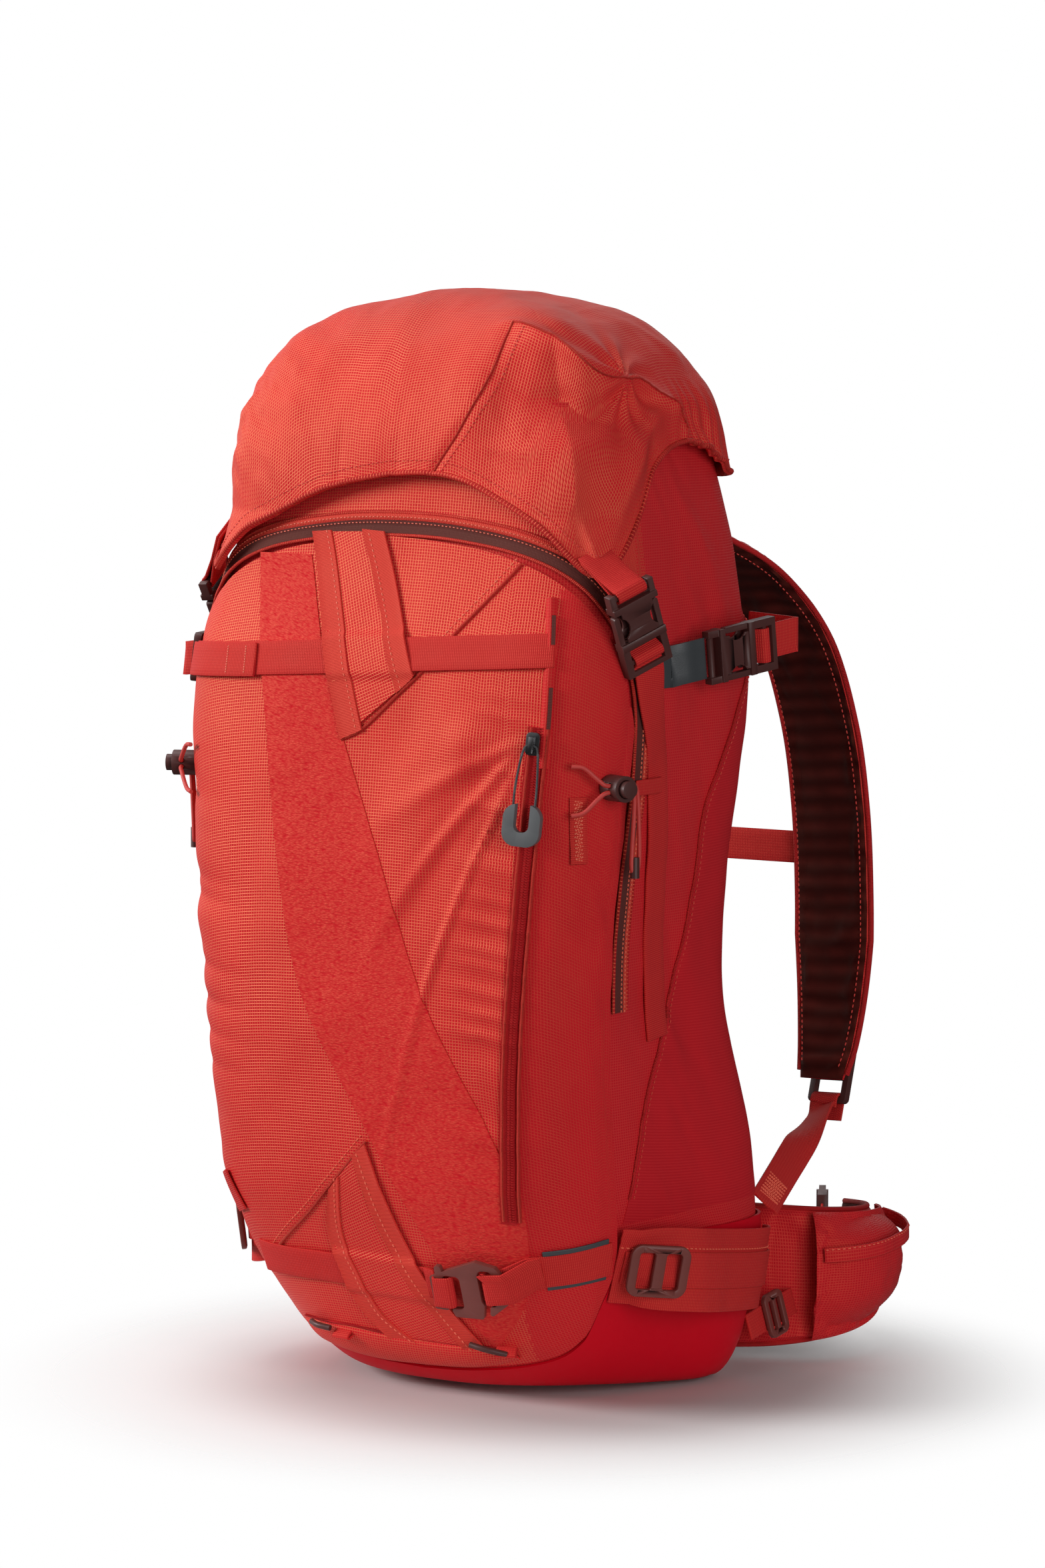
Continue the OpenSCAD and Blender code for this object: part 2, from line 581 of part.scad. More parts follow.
module lid_strap(m, turn) {
    rise = [for (z = [218 : 16 : 378]) [side_phi(lid_strap_y(z, m), z), z]];
    tip = m - 24.4 * swing(m) - 1.6 * lid_face(m, turn);
    low = body(rise[10][0], rise[10][1]);
    n = outward(rise[10][0], rise[10][1]);
    band(concat([for (s = rise) body(s[0], s[1])], [mix(low, tip, 0.35) + 0.5 * n, mix(low, tip, 0.7), tip]),
        concat([for (s = rise) outward(s[0], s[1])], [n, unit(n + lid_face(m, turn)), lid_face(m, turn)]),
        web_w, gap, gap + web_t);
}
module lid_straps() {
    color(red) {
        lid_strap(mouth_right, turn_right);
        mirror([1, 0, 0]) lid_strap(mouth_left, turn_left);
    }
}

// Side compression: a wear tab (cut with the wear patches), a buckle on slack webbing, and a fold sewn into the seam
comp_dir = unit([0.30, 0.94, 0.14]);
comp_face = face_square([1, 0, 0], comp_dir);
comp_root = body(-12, 435, 4);
comp_mouth = comp_root + 52 * comp_dir + 3 * comp_face;
module wear_tab() {
    a = [for (p = [-16, -15, -14, -13, -12]) body(p, 434)];
    n = [for (p = [-16, -15, -14, -13, -12]) outward(p, 434)];
    b = [for (s = [8, 16, 22]) comp_root + s * comp_dir];
    band(concat(a, b), concat(n, [comp_face, comp_face, comp_face]), web_w + 4, gap, gap + 1.2);
}
module at_comp() {
    place(comp_mouth, cross(-comp_dir, comp_face), -comp_dir) children();
}
module compression_buckle_female() {
    color(brown) at_comp() buckle_female();
}
module compression_buckle_male() {
    color(brown) at_comp() buckle_male();
}
comp_end = comp_mouth + 45 * comp_dir - 5.4 * comp_face;
module compression_strap() {
    seam = body(40, 450, 1.2);
    flat = unit([comp_dir[0], comp_dir[1], 0]);
    n0 = face_square(comp_face, flat);
    home = unit([seam[0] - comp_end[0], seam[1] - comp_end[1], 0]);
    start = comp_mouth + 15 * comp_dir - 4.9 * comp_face;
    path = [start, mix(start, comp_end, 0.5), comp_end, comp_end + 4 * unit(flat + home), seam + [0, 0, 0] - 6 * home];
    n1 = unit(cross(home, [0, 0, 1]));
    color(red) band(path, [n0, n0, unit(n0 + 0.3 * n1), unit(n0 + n1), n1], web_w, 0, web_t);
}

// Axe holders: shock cord through a sprung lock on each front corner
lock_spot = [-36, 369];
lock_face = face_square(outward(lock_spot[0], lock_spot[1]), [0, 0, 1]);
lock_at = body(lock_spot[0], lock_spot[1]) + (stash_t + gap + 0.6) * lock_face;
lock_side = cross([0, 0, 1], lock_face);
module at_lock() {
    place(lock_at, lock_side, [0, 0, 1]) children();
}
function on_lock(x, y, z) = lock_at + x * lock_side + [0, 0, y] + z * lock_face;
module cord_lock() {
    at_lock() difference() {
        cylinder(h = 15, d = lock_d, $fn = 48);
        translate([0, 0, 3]) cylinder(h = 13, d = lock_d - 4.4, $fn = 48);
        for (y = [-1.9, 1.9]) translate([-10, y, 8.7]) rotate([0, 90, 0]) cylinder(h = 20, d = cord_d + 0.8, $fn = 24);
    }
}
module cord_button() {
    at_lock() difference() {
        translate([0, 0, 3.2 + button_travel]) cylinder(h = 13, d = lock_d - 5.2, $fn = 48);
        translate([-10, -3.8, 7.1]) cube([20, 7.6, 4.1 + button_travel]);
    }
}
module cord_locks() {
    color(brown) both() cord_lock();
}
module cord_button_right() {
    color(brown) cord_button();
}
module cord_button_left() {
    color(brown) mirror([1, 0, 0]) cord_button();
}
module cord_springs() {
    turns = [for (a = [0 : 60 : 1080]) on_lock(3.4 * cos(a), 3.4 * sin(a), 3.5 + (button_travel - 0.8) * a / 1080)];
    color(steel) both() cord(turns, 0.5, 6, lock_face);
}
module axe_cord() {
    path = through([on_lock(-26, 13, -1.6), on_lock(-20, 12, 2.6), on_lock(-13, 5, 7), on_lock(-8, 1.9, 8.7),
        on_lock(8, 1.9, 8.7), on_lock(13, -1, 7.4), on_lock(15, -16, 6.6), on_lock(16, -38, 6), on_lock(15.6, -46, 5.6),
        on_lock(13.2, -48.6, 5.6), on_lock(11, -46, 5.6), on_lock(11, -34, 6), on_lock(11.6, -14, 7),
        on_lock(11, -4.4, 7.6), on_lock(8, -1.9, 8.7), on_lock(-8, -1.9, 8.7), on_lock(-13, -5, 7),
        on_lock(-20, -13, 2.6), on_lock(-26, -15, -1.6)], 3);
    cord(path, cord_d, 8, lock_face);
}
module axe_cord_right() {
    color(red) axe_cord();
}
module axe_cord_left() {
    color(red) mirror([1, 0, 0]) axe_cord();
}
// Small sewn webbing: cord keepers on the sides, pull tabs at the foot of the panel
module webbing_tabs() {
    color(red) {
        both() laid_band(fan(-26.4, -14, 367, 367, 6), 9, 2 * gap + 1.8, 2 * gap + 1.8 + web_t);
        for (x = [-44, 66]) {
            p = front_phi(x, 36);
            n = outward(p, 36);
            up = face_square([0, 0, 1], n);
            place(body(p, 36) + (stash_t - 0.5) * n, cross(up, n), up) linear_extrude(7) rounded(12, 4, 1.5);
        }
    }
}

// The framed back: a plastic sheet, two alloy stays, pads, and the yoke that takes the straps
function back_strip(x0, x1, z0, z1, rows, cols) = [for (j = [0 : rows]) let (z = mix(z0, z1, j / rows))
    [for (i = [0 : cols]) [back_phi(mix(x1, x0, i / cols), z), z]]];
sheet_hi = gap + 1.6;
stay_hi = sheet_hi + gap + 3;
module frame_sheet() {
    color(grey) laid_patch(back_strip(-82, 82, 122, 468, 16, 8), gap + 0.1, sheet_hi);
}
module frame_stays() {
    color(steel) both() laid_patch(back_strip(38, 50, 130, 462, 14, 1), sheet_hi + gap, stay_hi);
}
pad_lo = stay_hi + gap;
function swell(j, i, rows, cols) =
    let (u = abs(2 * i / cols - 1), v = j / rows, edge = min(v, 1 - v))
    (u < 0.18 || abs(v - 0.5) < 0.05 ? 0.45 : 1 - 0.35 * abs(2 * u - 1.1)) * (edge < 0.01 ? 0.4 : 1);
module back_pad() {
    rows = 14;
    cols = 10;
    g = back_strip(-84, 84, 126, 466, rows, cols);
    color(brown) slab([for (j = [0 : rows]) [for (i = [0 : cols])
            body(g[j][i][0], g[j][i][1], pad_lo + 2 + pad_t * swell(j, i, rows, cols))]],
        [for (j = [0 : rows]) [for (i = [0 : cols]) body(g[j][i][0], g[j][i][1], pad_lo)]]);
}
module lumbar_pad() {
    rows = 6;
    cols = 8;
    g = back_strip(-78, 78, 26, 114, rows, cols);
    lo = gap + boot_t + gap;
    color(brown) slab([for (j = [0 : rows]) [for (i = [0 : cols])
            body(g[j][i][0], g[j][i][1], lo + 3 + 15 * (1 - 0.6 * abs(2 * j / rows - 1)^3) * (1 - 0.7 * abs(2 * i / cols - 1)^4))]],
        [for (j = [0 : rows]) [for (i = [0 : cols]) body(g[j][i][0], g[j][i][1], lo)]]);
}
yoke_hi = gap + 3;
module shoulder_yoke() {
    color(red) laid_patch(back_strip(-88, 88, 476, 532, 4, 8), gap, yoke_hi);
}
module haul_loop() {
    r = 23;
    t = 2;
    y0 = back(490) + yoke_hi + 0.6;
    color(red) translate([0, y0, 481]) linear_extrude(18) {
        translate([0, 6]) difference() {
            circle(r, $fn = 64);
            circle(r - t, $fn = 64);
            translate([-30, -40]) square([60, 40]);
        }
        for (x = [-r, r - t]) translate([x, 0]) square([t, 6.2]);
    }
}

// The lid: a crowned shell with a cut-away hem, a liner, and webbing to its buckles
function lid_flare(z) = max(0, lid_z - z);
lid_z = 520;
function lid_scale(z) = z <= lid_z ? 1 : (1 - min(1, (z - lid_z) / (lid_top - lid_z))^2.5)^0.4;
function lid_point(phi, z, off) =
    let (k = lid_scale(z), f = lid_flare(z), p = section(phi, z, 4.8, lid_half + 0.2 * f + off,
        lid_front + 0.28 * f + off, lid_back + off, 0), y = (lid_back - lid_front) / 2)
    [k * p[0], y + k * (p[1] - y), z];
hem_at = [[0, hem_front], [20, hem_front - 5], [36, mix(hem_front, hem_corner, 0.5)], [48, hem_corner],
    [54, hem_corner + 2], [63, 514], [76, 546], [96, 572], [114, 560], [130, hinge_z + 2], [180, hinge_z + 2]];
function hem(phi) = curve(abs(mod_angle(phi + 90)), hem_at);
function mod_angle(a) = a > 180 ? a - 360 : a < -180 ? a + 360 : a;
lid_rows = [0, 0.12, 0.26, 0.42, 0.58, 0.74, 0.88, 0.97];
roof_z = 595;
function lid_ring(f, off, top) = [for (i = [0 : ring_n - 1])
    let (p = signed(i), z = hem(p) + (top - hem(p)) * (1 - (1 - f)^1.8)) lid_point(p, z, off)];
module lid_shell() {
    color(red) shell([for (f = lid_rows) lid_ring(f, 0, lid_top)], [for (f = lid_rows) lid_ring(f, -lid_t, lid_top - lid_t)],
        "roof");
}
module lid_liner() {
    color(deep_red) shell([for (z = [roof_z, roof_z + 1.6]) [for (i = [0 : ring_n - 1]) lid_point(signed(i), z, -lid_t - gap - 2)]],
        [for (z = [roof_z + 0.8, roof_z + 1.6]) [for (i = [0 : ring_n - 1]) lid_point(signed(i), z, -lid_t - gap - 5)]],
        "floor");
}
module lid_webbing() {
    color(red) {
        at_lid_buckle(mouth_right, turn_right) translate([0, 27, 0]) web_loop(4, 9, 1);
        mirror([1, 0, 0]) at_lid_buckle(mouth_left, turn_left) translate([0, 27, 0]) web_loop(4, 30, 1);
    }
}

// The harness: two quilted straps hung from the yoke, swinging together on their sewn tops
strap_y = back(strap_z) + yoke_hi + 0.7 + strap_t / 2;
strap_points = [[56, strap_y, strap_z], [66, strap_y + 28, strap_z - 8], [80, strap_y + 64, strap_z - 30],
    [95, strap_y + 95, strap_z - 70], [104, strap_y + 111, strap_z - 122], [109, strap_y + 117, strap_z - 175],
    [112, strap_y + 117, strap_z - 230], [114, strap_y + 113, strap_z - 280], [115, strap_y + 106, strap_z - 318],
    [115, strap_y + 98, strap_z - 342]];
strap_path = through(strap_points, 2);
function strap_out(j) = let (a = min(10, j * 1.5)) [cos(a), -sin(a), 0];
strap_face = [for (j = [0 : len(strap_path) - 1]) unit(cross(strap_out(j), along(strap_path, j)))];
strap_n = len(strap_path) - 1;
function strap_taper(j) = j < 5 ? mix(0.86, 1, j / 5) : j > strap_n - 5 ? mix(0.62, 1, (strap_n - j) / 5) : 1;
function strap_thin(j) = j == 0 ? 0.85 : j > strap_n - 2 ? mix(0.7, 1, (strap_n - j) / 2) : 1;
module shoulder_straps() {
    color(brown) both() padded(strap_path, strap_face, [for (j = [0 : strap_n]) strap_w * strap_taper(j)],
        [for (j = [0 : strap_n]) strap_t * strap_thin(j)]);
}
// Each strap's face looks away from the bag, and its adjuster hangs there above the lower webbing
end_j = strap_n - 1;
end_dir = along(strap_path, end_j);
end_face = strap_face[end_j];
module strap_adjusters() {
    color(brown) both() place(strap_path[end_j] + (strap_t / 2 + 0.4) * end_face + 8 * end_dir,
        cross(end_dir, end_face), end_dir) ladder_lock(web_w, 34, 4.5);
}
tail_root = body(41, 104, 5);
module harness_webbing() {
    top = strap_path[end_j] + (strap_t / 2 + 1.4) * end_face + 27 * end_dir;
    tail = [for (k = [0 : 6]) mix(tail_root, top, k / 6)];
    d = unit(top - tail_root);
    n = face_square([0.5, -0.8, 0], d);
    head = body(back_phi(72, 524), 524, yoke_hi + 2.2);
    foot = strap_path[2] + (strap_t / 2 + 2) * strap_face[2];
    lift = [for (k = [0 : 4]) mix(head, foot, k / 4)];
    up = face_square([0, 0, 1], unit(foot - head));
    color(red) both() {
        band(tail, [for (p = tail) n], web_w, -web_t / 2, web_t / 2);
        band(lift, [for (p = lift) up], web_w - 2, -web_t / 2, web_t / 2);
    }
}

// The sternum strap spans the two shoulder straps, its clips on their outer faces
chest_j = 11;
chest_pt = strap_path[chest_j];
chest_edge = chest_pt - 0.5 * strap_w * across_strap(chest_j);
function across_strap(j) = strap_out(j);
chest_y = chest_edge[1] + 4.1;
module sternum_strap() {
    x = chest_edge[0] + 12;
    color(red) translate([-x, chest_y, chest_pt[2] - web_w / 2]) cube([2 * x, web_t, web_w]);
}
module sternum_buckle() {
    color(brown) translate([-24, chest_y - 3, chest_pt[2] - 13]) difference() {
        cube([48, 8, 26]);
        translate([-1, 2.4, 2.4]) cube([50, 2.8, 21.2]);
    }
}

// The hip belt: two wrapping wings, the right with a zipped pocket
wing_root = [92, 136];
wing_points = [[96, 138, 0], [124, 148, 0], [145, 164, 0], [153, 187, 0], [148, 214, 0], [132, 240, 0], [106, 261, 0]];
wing_path = through(wing_points, 3);
wing_n = len(wing_path) - 1;
function wing_out(j) = unit(cross(along(wing_path, j), [0, 0, 1]));
function wing_low(j) = mix(7, 34, (j / wing_n)^1.4);
function wing_top(j) = mix(7 + wing_h, 80, (j / wing_n)^1.6);
function wing_grid(sign) = [for (j = [0 : wing_n]) [for (i = [0 : 6]) let (v = 2 * i / 6 - 1)
    wing_path[j] + [0, 0, mix(wing_low(j), wing_top(j), i / 6)] + sign * wing_t / 2 * (1 - 0.45 * abs(v)^3) * wing_out(j)]];
module wing() {
    slab(wing_grid(-1), wing_grid(1));
}
module hip_wing_right() {
    color(red) wing();
}
module hip_wing_left() {
    color(red) mirror([1, 0, 0]) wing();
}
// Belt webbing and the two buckle halves, left open at the front of the waist
belt_line = through([[105.5, 261.4, 57], [89, 275, 57], [75, 290, 57], [65, 307, 57]], 3);
belt_face = [for (j = [0 : len(belt_line) - 1]) unit(cross(along(belt_line, j), [0, 0, 1]))];
belt_end = belt_line[len(belt_line) - 1];
belt_dir = along(belt_line, len(belt_line) - 1);
module belt_strap() {
    band(belt_line, belt_face, web_w, -web_t / 2, web_t / 2);
}
module hip_strap_right() {
    color(red) belt_strap();
}
module hip_strap_left() {
    color(red) mirror([1, 0, 0]) belt_strap();
}
module hip_buckle_male() {
    color(brown) place(belt_end + 22.4 * belt_dir, [0, 0, -1], belt_dir) buckle_male();
}
module hip_buckle_female() {
    color(brown) mirror([1, 0, 0]) place(belt_end + 29.5 * belt_dir, [0, 0, 1], -belt_dir) buckle_female();
}

// Stabiliser straps tie each wing to the bag's back corner through a triglide
stab_a = body(38, 30, 5.6);
stab_b = wing_path[4] + [0, 0, 38] + (wing_t / 2 + 1.2) * wing_out(4);
stab_dir = unit(stab_b - stab_a);
stab_face = face_square([0.6, -0.8, 0], stab_dir);
module stabiliser_straps() {
    path = [for (k = [0 : 3]) mix(stab_a, stab_b, k / 3)];
    color(red) both() band(path, [for (p = path) stab_face], web_w - 4, -web_t / 2, web_t / 2);
}
module stabiliser_triglides() {
    color(brown) both() place(mix(stab_a, stab_b, 0.5) + (web_t / 2 + 0.5) * stab_face, cross(stab_dir, stab_face), stab_dir)
        linear_extrude(metal_t) difference() {
            rounded(27, 21, 5);
            translate([0, 4.2]) rounded(18, 5, 1.5);
            translate([0, -4.2]) rounded(18, 5, 1.5);
        }
}
module hip_pocket() {
    js = [for (j = [5 : 15]) j];
    bulge = [for (j = js) 22 * (1 - abs((j - 9) / 6.2)^2.4)];
    function at_pocket(k, i, lift) = let (j = js[k], v = i / 5)
        wing_path[j] + [0, 0, mix(wing_low(j) + 1, wing_top(j) - 1, v)] + lift * wing_out(j);
    color(red) slab([for (k = [0 : len(js) - 1]) [for (i = [0 : 5])
            at_pocket(k, i, wing_t / 2 + 0.8)]],
        [for (k = [0 : len(js) - 1]) [for (i = [0 : 5])
            at_pocket(k, i, wing_t / 2 + 3 + bulge[k] * (1 - min(1, abs(2 * i / 5 - 1.1)^2.6)))]]);
}

main_bag();
bag_floor();
base_boot();
collar();
collar_cord();
front_panel();
panel_zip();
panel_zip_slider();
stash_zip();
stash_zip_slider();
stash_pull_cord();
stash_pull_grip();
panel_trim();
front_upper_strap();
upper_adjuster_left();
side_strap_left();
front_lower_strap();
gear_hook();
hook_loop_strap();
wear_patches();
ski_loop_right();
ski_loop_left();
ski_triglide_right();
ski_triglide_left();
compression_buckle_female();
compression_buckle_male();
compression_strap();
lid_straps();
lid_buckle_males();
axe_cord_right();
axe_cord_left();
cord_locks();
cord_button_right();
cord_button_left();
cord_springs();
webbing_tabs();
frame_sheet();
frame_stays();
back_pad();
lumbar_pad();
shoulder_yoke();
haul_loop();
harness_webbing();
lid_shell();
lid_liner();
lid_webbing();
lid_buckle_females();
shoulder_straps();
strap_adjusters();
sternum_strap();
sternum_buckle();
hip_wing_right();
hip_wing_left();
hip_pocket();
hip_strap_right();
hip_strap_left();
hip_buckle_male();
hip_buckle_female();
stabiliser_straps();
stabiliser_triglides();
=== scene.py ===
# %% [markdown]
# # Dressing a ski touring backpack
# The imported CAD model is the skeleton of this lesson: it knows where every strap, buckle and pad sits and how the
# lid and the harness move. Here each soft solid gets a cloth skin, each strap its weave and each buckle its plastic.
# All lengths below are in millimetres, as a maker would mark them, and MM turns them into Blender's metres.

# %% The CAD model and helpers
import math

import bpy
import numpy as np
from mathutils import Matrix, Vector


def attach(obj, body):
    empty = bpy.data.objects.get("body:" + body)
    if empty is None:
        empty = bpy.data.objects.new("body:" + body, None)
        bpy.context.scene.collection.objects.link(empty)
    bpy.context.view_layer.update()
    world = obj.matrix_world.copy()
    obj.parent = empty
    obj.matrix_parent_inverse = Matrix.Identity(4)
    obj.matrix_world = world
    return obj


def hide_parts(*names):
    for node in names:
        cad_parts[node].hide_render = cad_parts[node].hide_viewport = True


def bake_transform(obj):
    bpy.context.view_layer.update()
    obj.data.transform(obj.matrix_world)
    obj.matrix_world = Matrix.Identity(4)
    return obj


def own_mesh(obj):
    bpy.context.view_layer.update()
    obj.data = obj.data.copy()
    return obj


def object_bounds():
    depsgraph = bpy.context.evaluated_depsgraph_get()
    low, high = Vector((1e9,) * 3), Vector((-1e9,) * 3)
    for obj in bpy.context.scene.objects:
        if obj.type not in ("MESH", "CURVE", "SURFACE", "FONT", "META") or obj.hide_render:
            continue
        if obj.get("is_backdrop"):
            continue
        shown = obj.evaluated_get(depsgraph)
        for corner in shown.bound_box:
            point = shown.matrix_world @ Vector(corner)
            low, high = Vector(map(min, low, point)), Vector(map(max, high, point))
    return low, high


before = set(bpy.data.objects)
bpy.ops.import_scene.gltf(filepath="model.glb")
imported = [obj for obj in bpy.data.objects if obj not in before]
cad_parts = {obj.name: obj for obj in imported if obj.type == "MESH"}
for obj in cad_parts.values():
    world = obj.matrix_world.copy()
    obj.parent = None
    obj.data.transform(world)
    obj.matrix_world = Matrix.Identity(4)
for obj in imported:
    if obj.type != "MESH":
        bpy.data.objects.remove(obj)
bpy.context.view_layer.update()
MM = 0.001
UP = np.array([0, 0, 1.0])
MIRROR = np.array([-1, 1, 1])

# %% [markdown]
# ## The form of the bag
# A bag is sewn from flat cloth, but stuffed it is a rounded square that swells and narrows on its way up. The same
# stations that drive the CAD loft are repeated here, because every layer of cloth is laid on that one surface by a
# bearing (0 is the right side, -90 the front) and a height. A smooth curve through the stations avoids facets.

# %% The bag's stations
STATION = np.array([0, 15, 40, 80, 140, 250, 420, 500, 585.0])
HALF_WIDTH = np.array([114, 118.2, 125.55, 135, 138, 136, 147, 135, 120.0])
FRONT_REACH = np.array([46, 54.6, 70.94, 89, 107, 115, 106, 86, 74.0])
BACK_REACH = np.array([104, 108.5, 115.16, 122, 118, 93, 106, 108, 90.0])
BACK_FLARE = np.array([42, 38, 29, 20, 10, 3, 0, 0, 0.0])
SQUARENESS = np.array([3, 3.2, 3.6, 4.2, 4.7, 4.8, 4.8, 4.8, 4.2])
RIM_Z = 585
print(len(STATION), "stations")

# %% Vectors
def mix(a, b, t):
    return a + (b - a) * t


def unit(vectors):
    return vectors / np.linalg.norm(vectors, axis=-1, keepdims=True)


def heading(path):
    """The way that a line runs at each of its points."""
    return unit(np.gradient(path, axis=0))


def square_to(axis, way):
    """The way nearest to a given one that is square to an axis."""
    return unit(way - (way @ axis) * axis)


def repeated(vector, count):
    return np.repeat(np.asarray(vector, float)[None], count, axis=0)


def distances(path):
    """How far along a line each of its points is."""
    return np.concatenate([[0], np.cumsum(np.linalg.norm(np.diff(path, axis=0), axis=1))])


def read_at(where, at, table):
    """The rows of a table that stand at places along a line, read between those places."""
    return np.stack([np.interp(where, at, column) for column in table.T], -1)


print("up is", UP)

# %% Smooth lines
def smooth(x, at, value):
    """A smooth curve through the points (at, value), read at every x."""
    at, value, x = np.asarray(at, float), np.asarray(value, float), np.asarray(x, float)
    before = np.maximum(np.arange(len(at)) - 1, 0)
    after = np.minimum(np.arange(len(at)) + 1, len(at) - 1)
    slope = (value[after] - value[before]) / (at[after] - at[before])
    k = np.clip(np.searchsorted(at, x, side="right") - 1, 0, len(at) - 2)
    h = at[k + 1] - at[k]
    u = (x - at[k]) / h
    return (
        (2 * u**3 - 3 * u**2 + 1) * value[k]
        + (u**3 - 2 * u**2 + u) * h * slope[k]
        + (3 * u**2 - 2 * u**3) * value[k + 1]
        + (u**3 - u**2) * h * slope[k + 1]
    )


def route(points, count):
    """A smooth line through given points, read at count even steps."""
    points = np.array(points, float)
    steps = np.linspace(0, len(points) - 1, count)
    knots = np.arange(len(points))
    return np.stack([smooth(steps, knots, column) for column in points.T], -1)


print("a bent line read at", len(route([(0, 0), (1, 1), (2, 0)], 9)), "places")

# %% A point on the bag
def rounded_square(phi, power):
    phi = np.radians(phi)
    r = (np.abs(np.cos(phi)) ** power + np.abs(np.sin(phi)) ** power) ** (-1 / power)
    return r * np.cos(phi), r * np.sin(phi)


def bag_point(phi, z, off=0.0):
    phi, z = np.broadcast_arrays(np.asarray(phi, float), np.asarray(z, float))
    across, deep = rounded_square(phi, smooth(z, STATION, SQUARENESS))
    front = smooth(z, STATION, FRONT_REACH) + off
    back = smooth(z, STATION, BACK_REACH) + off
    half = smooth(z, STATION, HALF_WIDTH) + off + smooth(z, STATION, BACK_FLARE) * deep
    return np.stack([half * across, (back - front) / 2 + (back + front) / 2 * deep, z], -1)


def bag_normal(phi, z):
    phi, z = np.broadcast_arrays(np.asarray(phi, float), np.asarray(z, float))
    around = bag_point(phi + 0.5, z) - bag_point(phi - 0.5, z)
    return unit(np.cross(around, bag_point(phi, z + 1) - bag_point(phi, z - 1)))


def front_phi(x, z):
    return -90 + np.degrees(np.arctan(x / (smooth(z, STATION, HALF_WIDTH) - smooth(z, STATION, BACK_FLARE))))


def back_phi(x, z):
    return 90 - np.degrees(np.arctan(x / (smooth(z, STATION, HALF_WIDTH) + smooth(z, STATION, BACK_FLARE))))


def side_phi(y, z):
    front, back = smooth(z, STATION, FRONT_REACH), smooth(z, STATION, BACK_REACH)
    return np.degrees(np.arctan((y - (back - front) / 2) / ((back + front) / 2)))


print("bag is", round(2 * HALF_WIDTH.max()), "mm wide and", RIM_Z, "mm to the rim")

# %% [markdown]
# ## Folds and puckers
# Cloth that holds a load is never smooth: it sags in long soft folds and puckers beside every seam. A small seeded
# noise, read at different stretches, makes both. All layers share this relief, so a strap follows the fold below it.

# %% The relief of the cloth
LATTICE = np.random.default_rng(11).random((128, 128))


def ripple(a, b):
    """Smooth noise from -1 to 1 over a plane."""
    i, j = np.floor(a).astype(int), np.floor(b).astype(int)
    s, t = a - i, b - j
    s, t = s * s * (3 - 2 * s), t * t * (3 - 2 * t)

    def corner(m, n):
        return LATTICE[(i + m) % 128, (j + n) % 128]

    low = mix(corner(0, 0), corner(1, 0), s)
    return 2 * mix(low, mix(corner(0, 1), corner(1, 1), s), t) - 1


def folds(a, b):
    return ripple(a, b) + 0.5 * ripple(2.1 * a + 7, 2.1 * b + 3) + 0.25 * ripple(4.3 * a + 1, 4.3 * b + 9)


def bump_at(x, centre, width):
    return np.exp(-(((x - centre) / width) ** 2))


def bearing(phi):
    """The turn from the middle of the front, right positive, from -180 to 180."""
    return (np.asarray(phi) + 270) % 360 - 180


def pucker(along, pitch, seed):
    """Uneven creases across a seam, read by the distance along it."""
    return np.abs(ripple(along / pitch + seed, 0 * along + seed)) ** 0.7


print("noise on a grid of", LATTICE.shape)

# %% Folds of the bag
# The bearing and height that the front's creases fan out from, and each crease's slope and height.
STASH_TOP = (37, 398)
CREASES = ((1.6, 1.7), (3.6, 2.0), (7.5, 1.8))
# Below this height the base is rounded in, along an arc of this depth.
UNDER_Z, UNDER_DEEP = 34, 14


def relief(phi, z):
    """How far the cloth stands out from the loft: folds and puckers, and a tuck under the base."""
    d = bearing(phi)
    sag = 1.2 * folds(d / 30 + 4, z / 80)
    left_seam = 3.4 * bump_at(d, -51, 12) * pucker(z + 0.3 * d, 19, 2) * bump_at(z, 270, 180)
    right_seam = -2.2 * bump_at(d, 31, 7) * pucker(z + 0.5 * d, 13, 5) * bump_at(z, 270, 150)
    gusset = 1.5 * bump_at(d, 52, 9) * folds(d / 7 + z / 50, z / 34 + 6) * bump_at(z, 300, 170)
    stash_fold = 2.8 * bump_at(d, 24, 5) * bump_at(z, 392, 14) - 2.4 * bump_at(d, 27, 4) * bump_at(z, 372, 12)
    drape = 2.4 * bump_at(d, 20, 17) * bump_at(z, 345, 70) * ripple((z - 4.5 * d) / 46 + 2, d / 60 + 5)
    short = STASH_TOP[0] - d
    reach = np.clip(short / 6, 0, 1) * np.clip((38 - short) / 20, 0, 1)
    for slope, height in CREASES:
        drape = drape + height * reach * bump_at(z, STASH_TOP[1] - slope * short, 2.5 + 0.22 * np.maximum(short, 0))
    side_fold = 1.8 * bump_at(d, 92, 26) * folds(d / 16 + z / 60, z / 120 + 3)
    shape = (sag + left_seam + right_seam + gusset + stash_fold + drape + side_fold) * np.clip((z - 20) / 60, 0, 1)
    under = np.clip(1 - z / UNDER_Z, 0, 1)
    tuck = UNDER_DEEP * (1 - np.sqrt(1 - 0.98 * under**2)) * np.clip((150 - np.abs(d)) / 30, 0, 1)
    return shape - tuck


def skin(phi, z, off=0.0):
    """A point on the soft bag: the loft, its folds, and the layers of cloth below."""
    phi, z = np.broadcast_arrays(np.asarray(phi, float), np.asarray(z, float))
    return bag_point(phi, z, off) + relief(phi, z)[..., None] * bag_normal(phi, z)


print("base is rounded in by", round(float(-relief(np.array([-90.0]), np.array([0.0]))[0])), "mm")

# %% [markdown]
# ## Sewing helpers
# A panel is a flat grid that is laid on the form, as cloth is laid on a dressmaker's dummy. Its UV map holds the true
# distances along both threads in metres, so a weave keeps its scale however the panel curves. Solidify then gives the
# cloth its thickness, and a small bevel takes the knife edge off webbing.

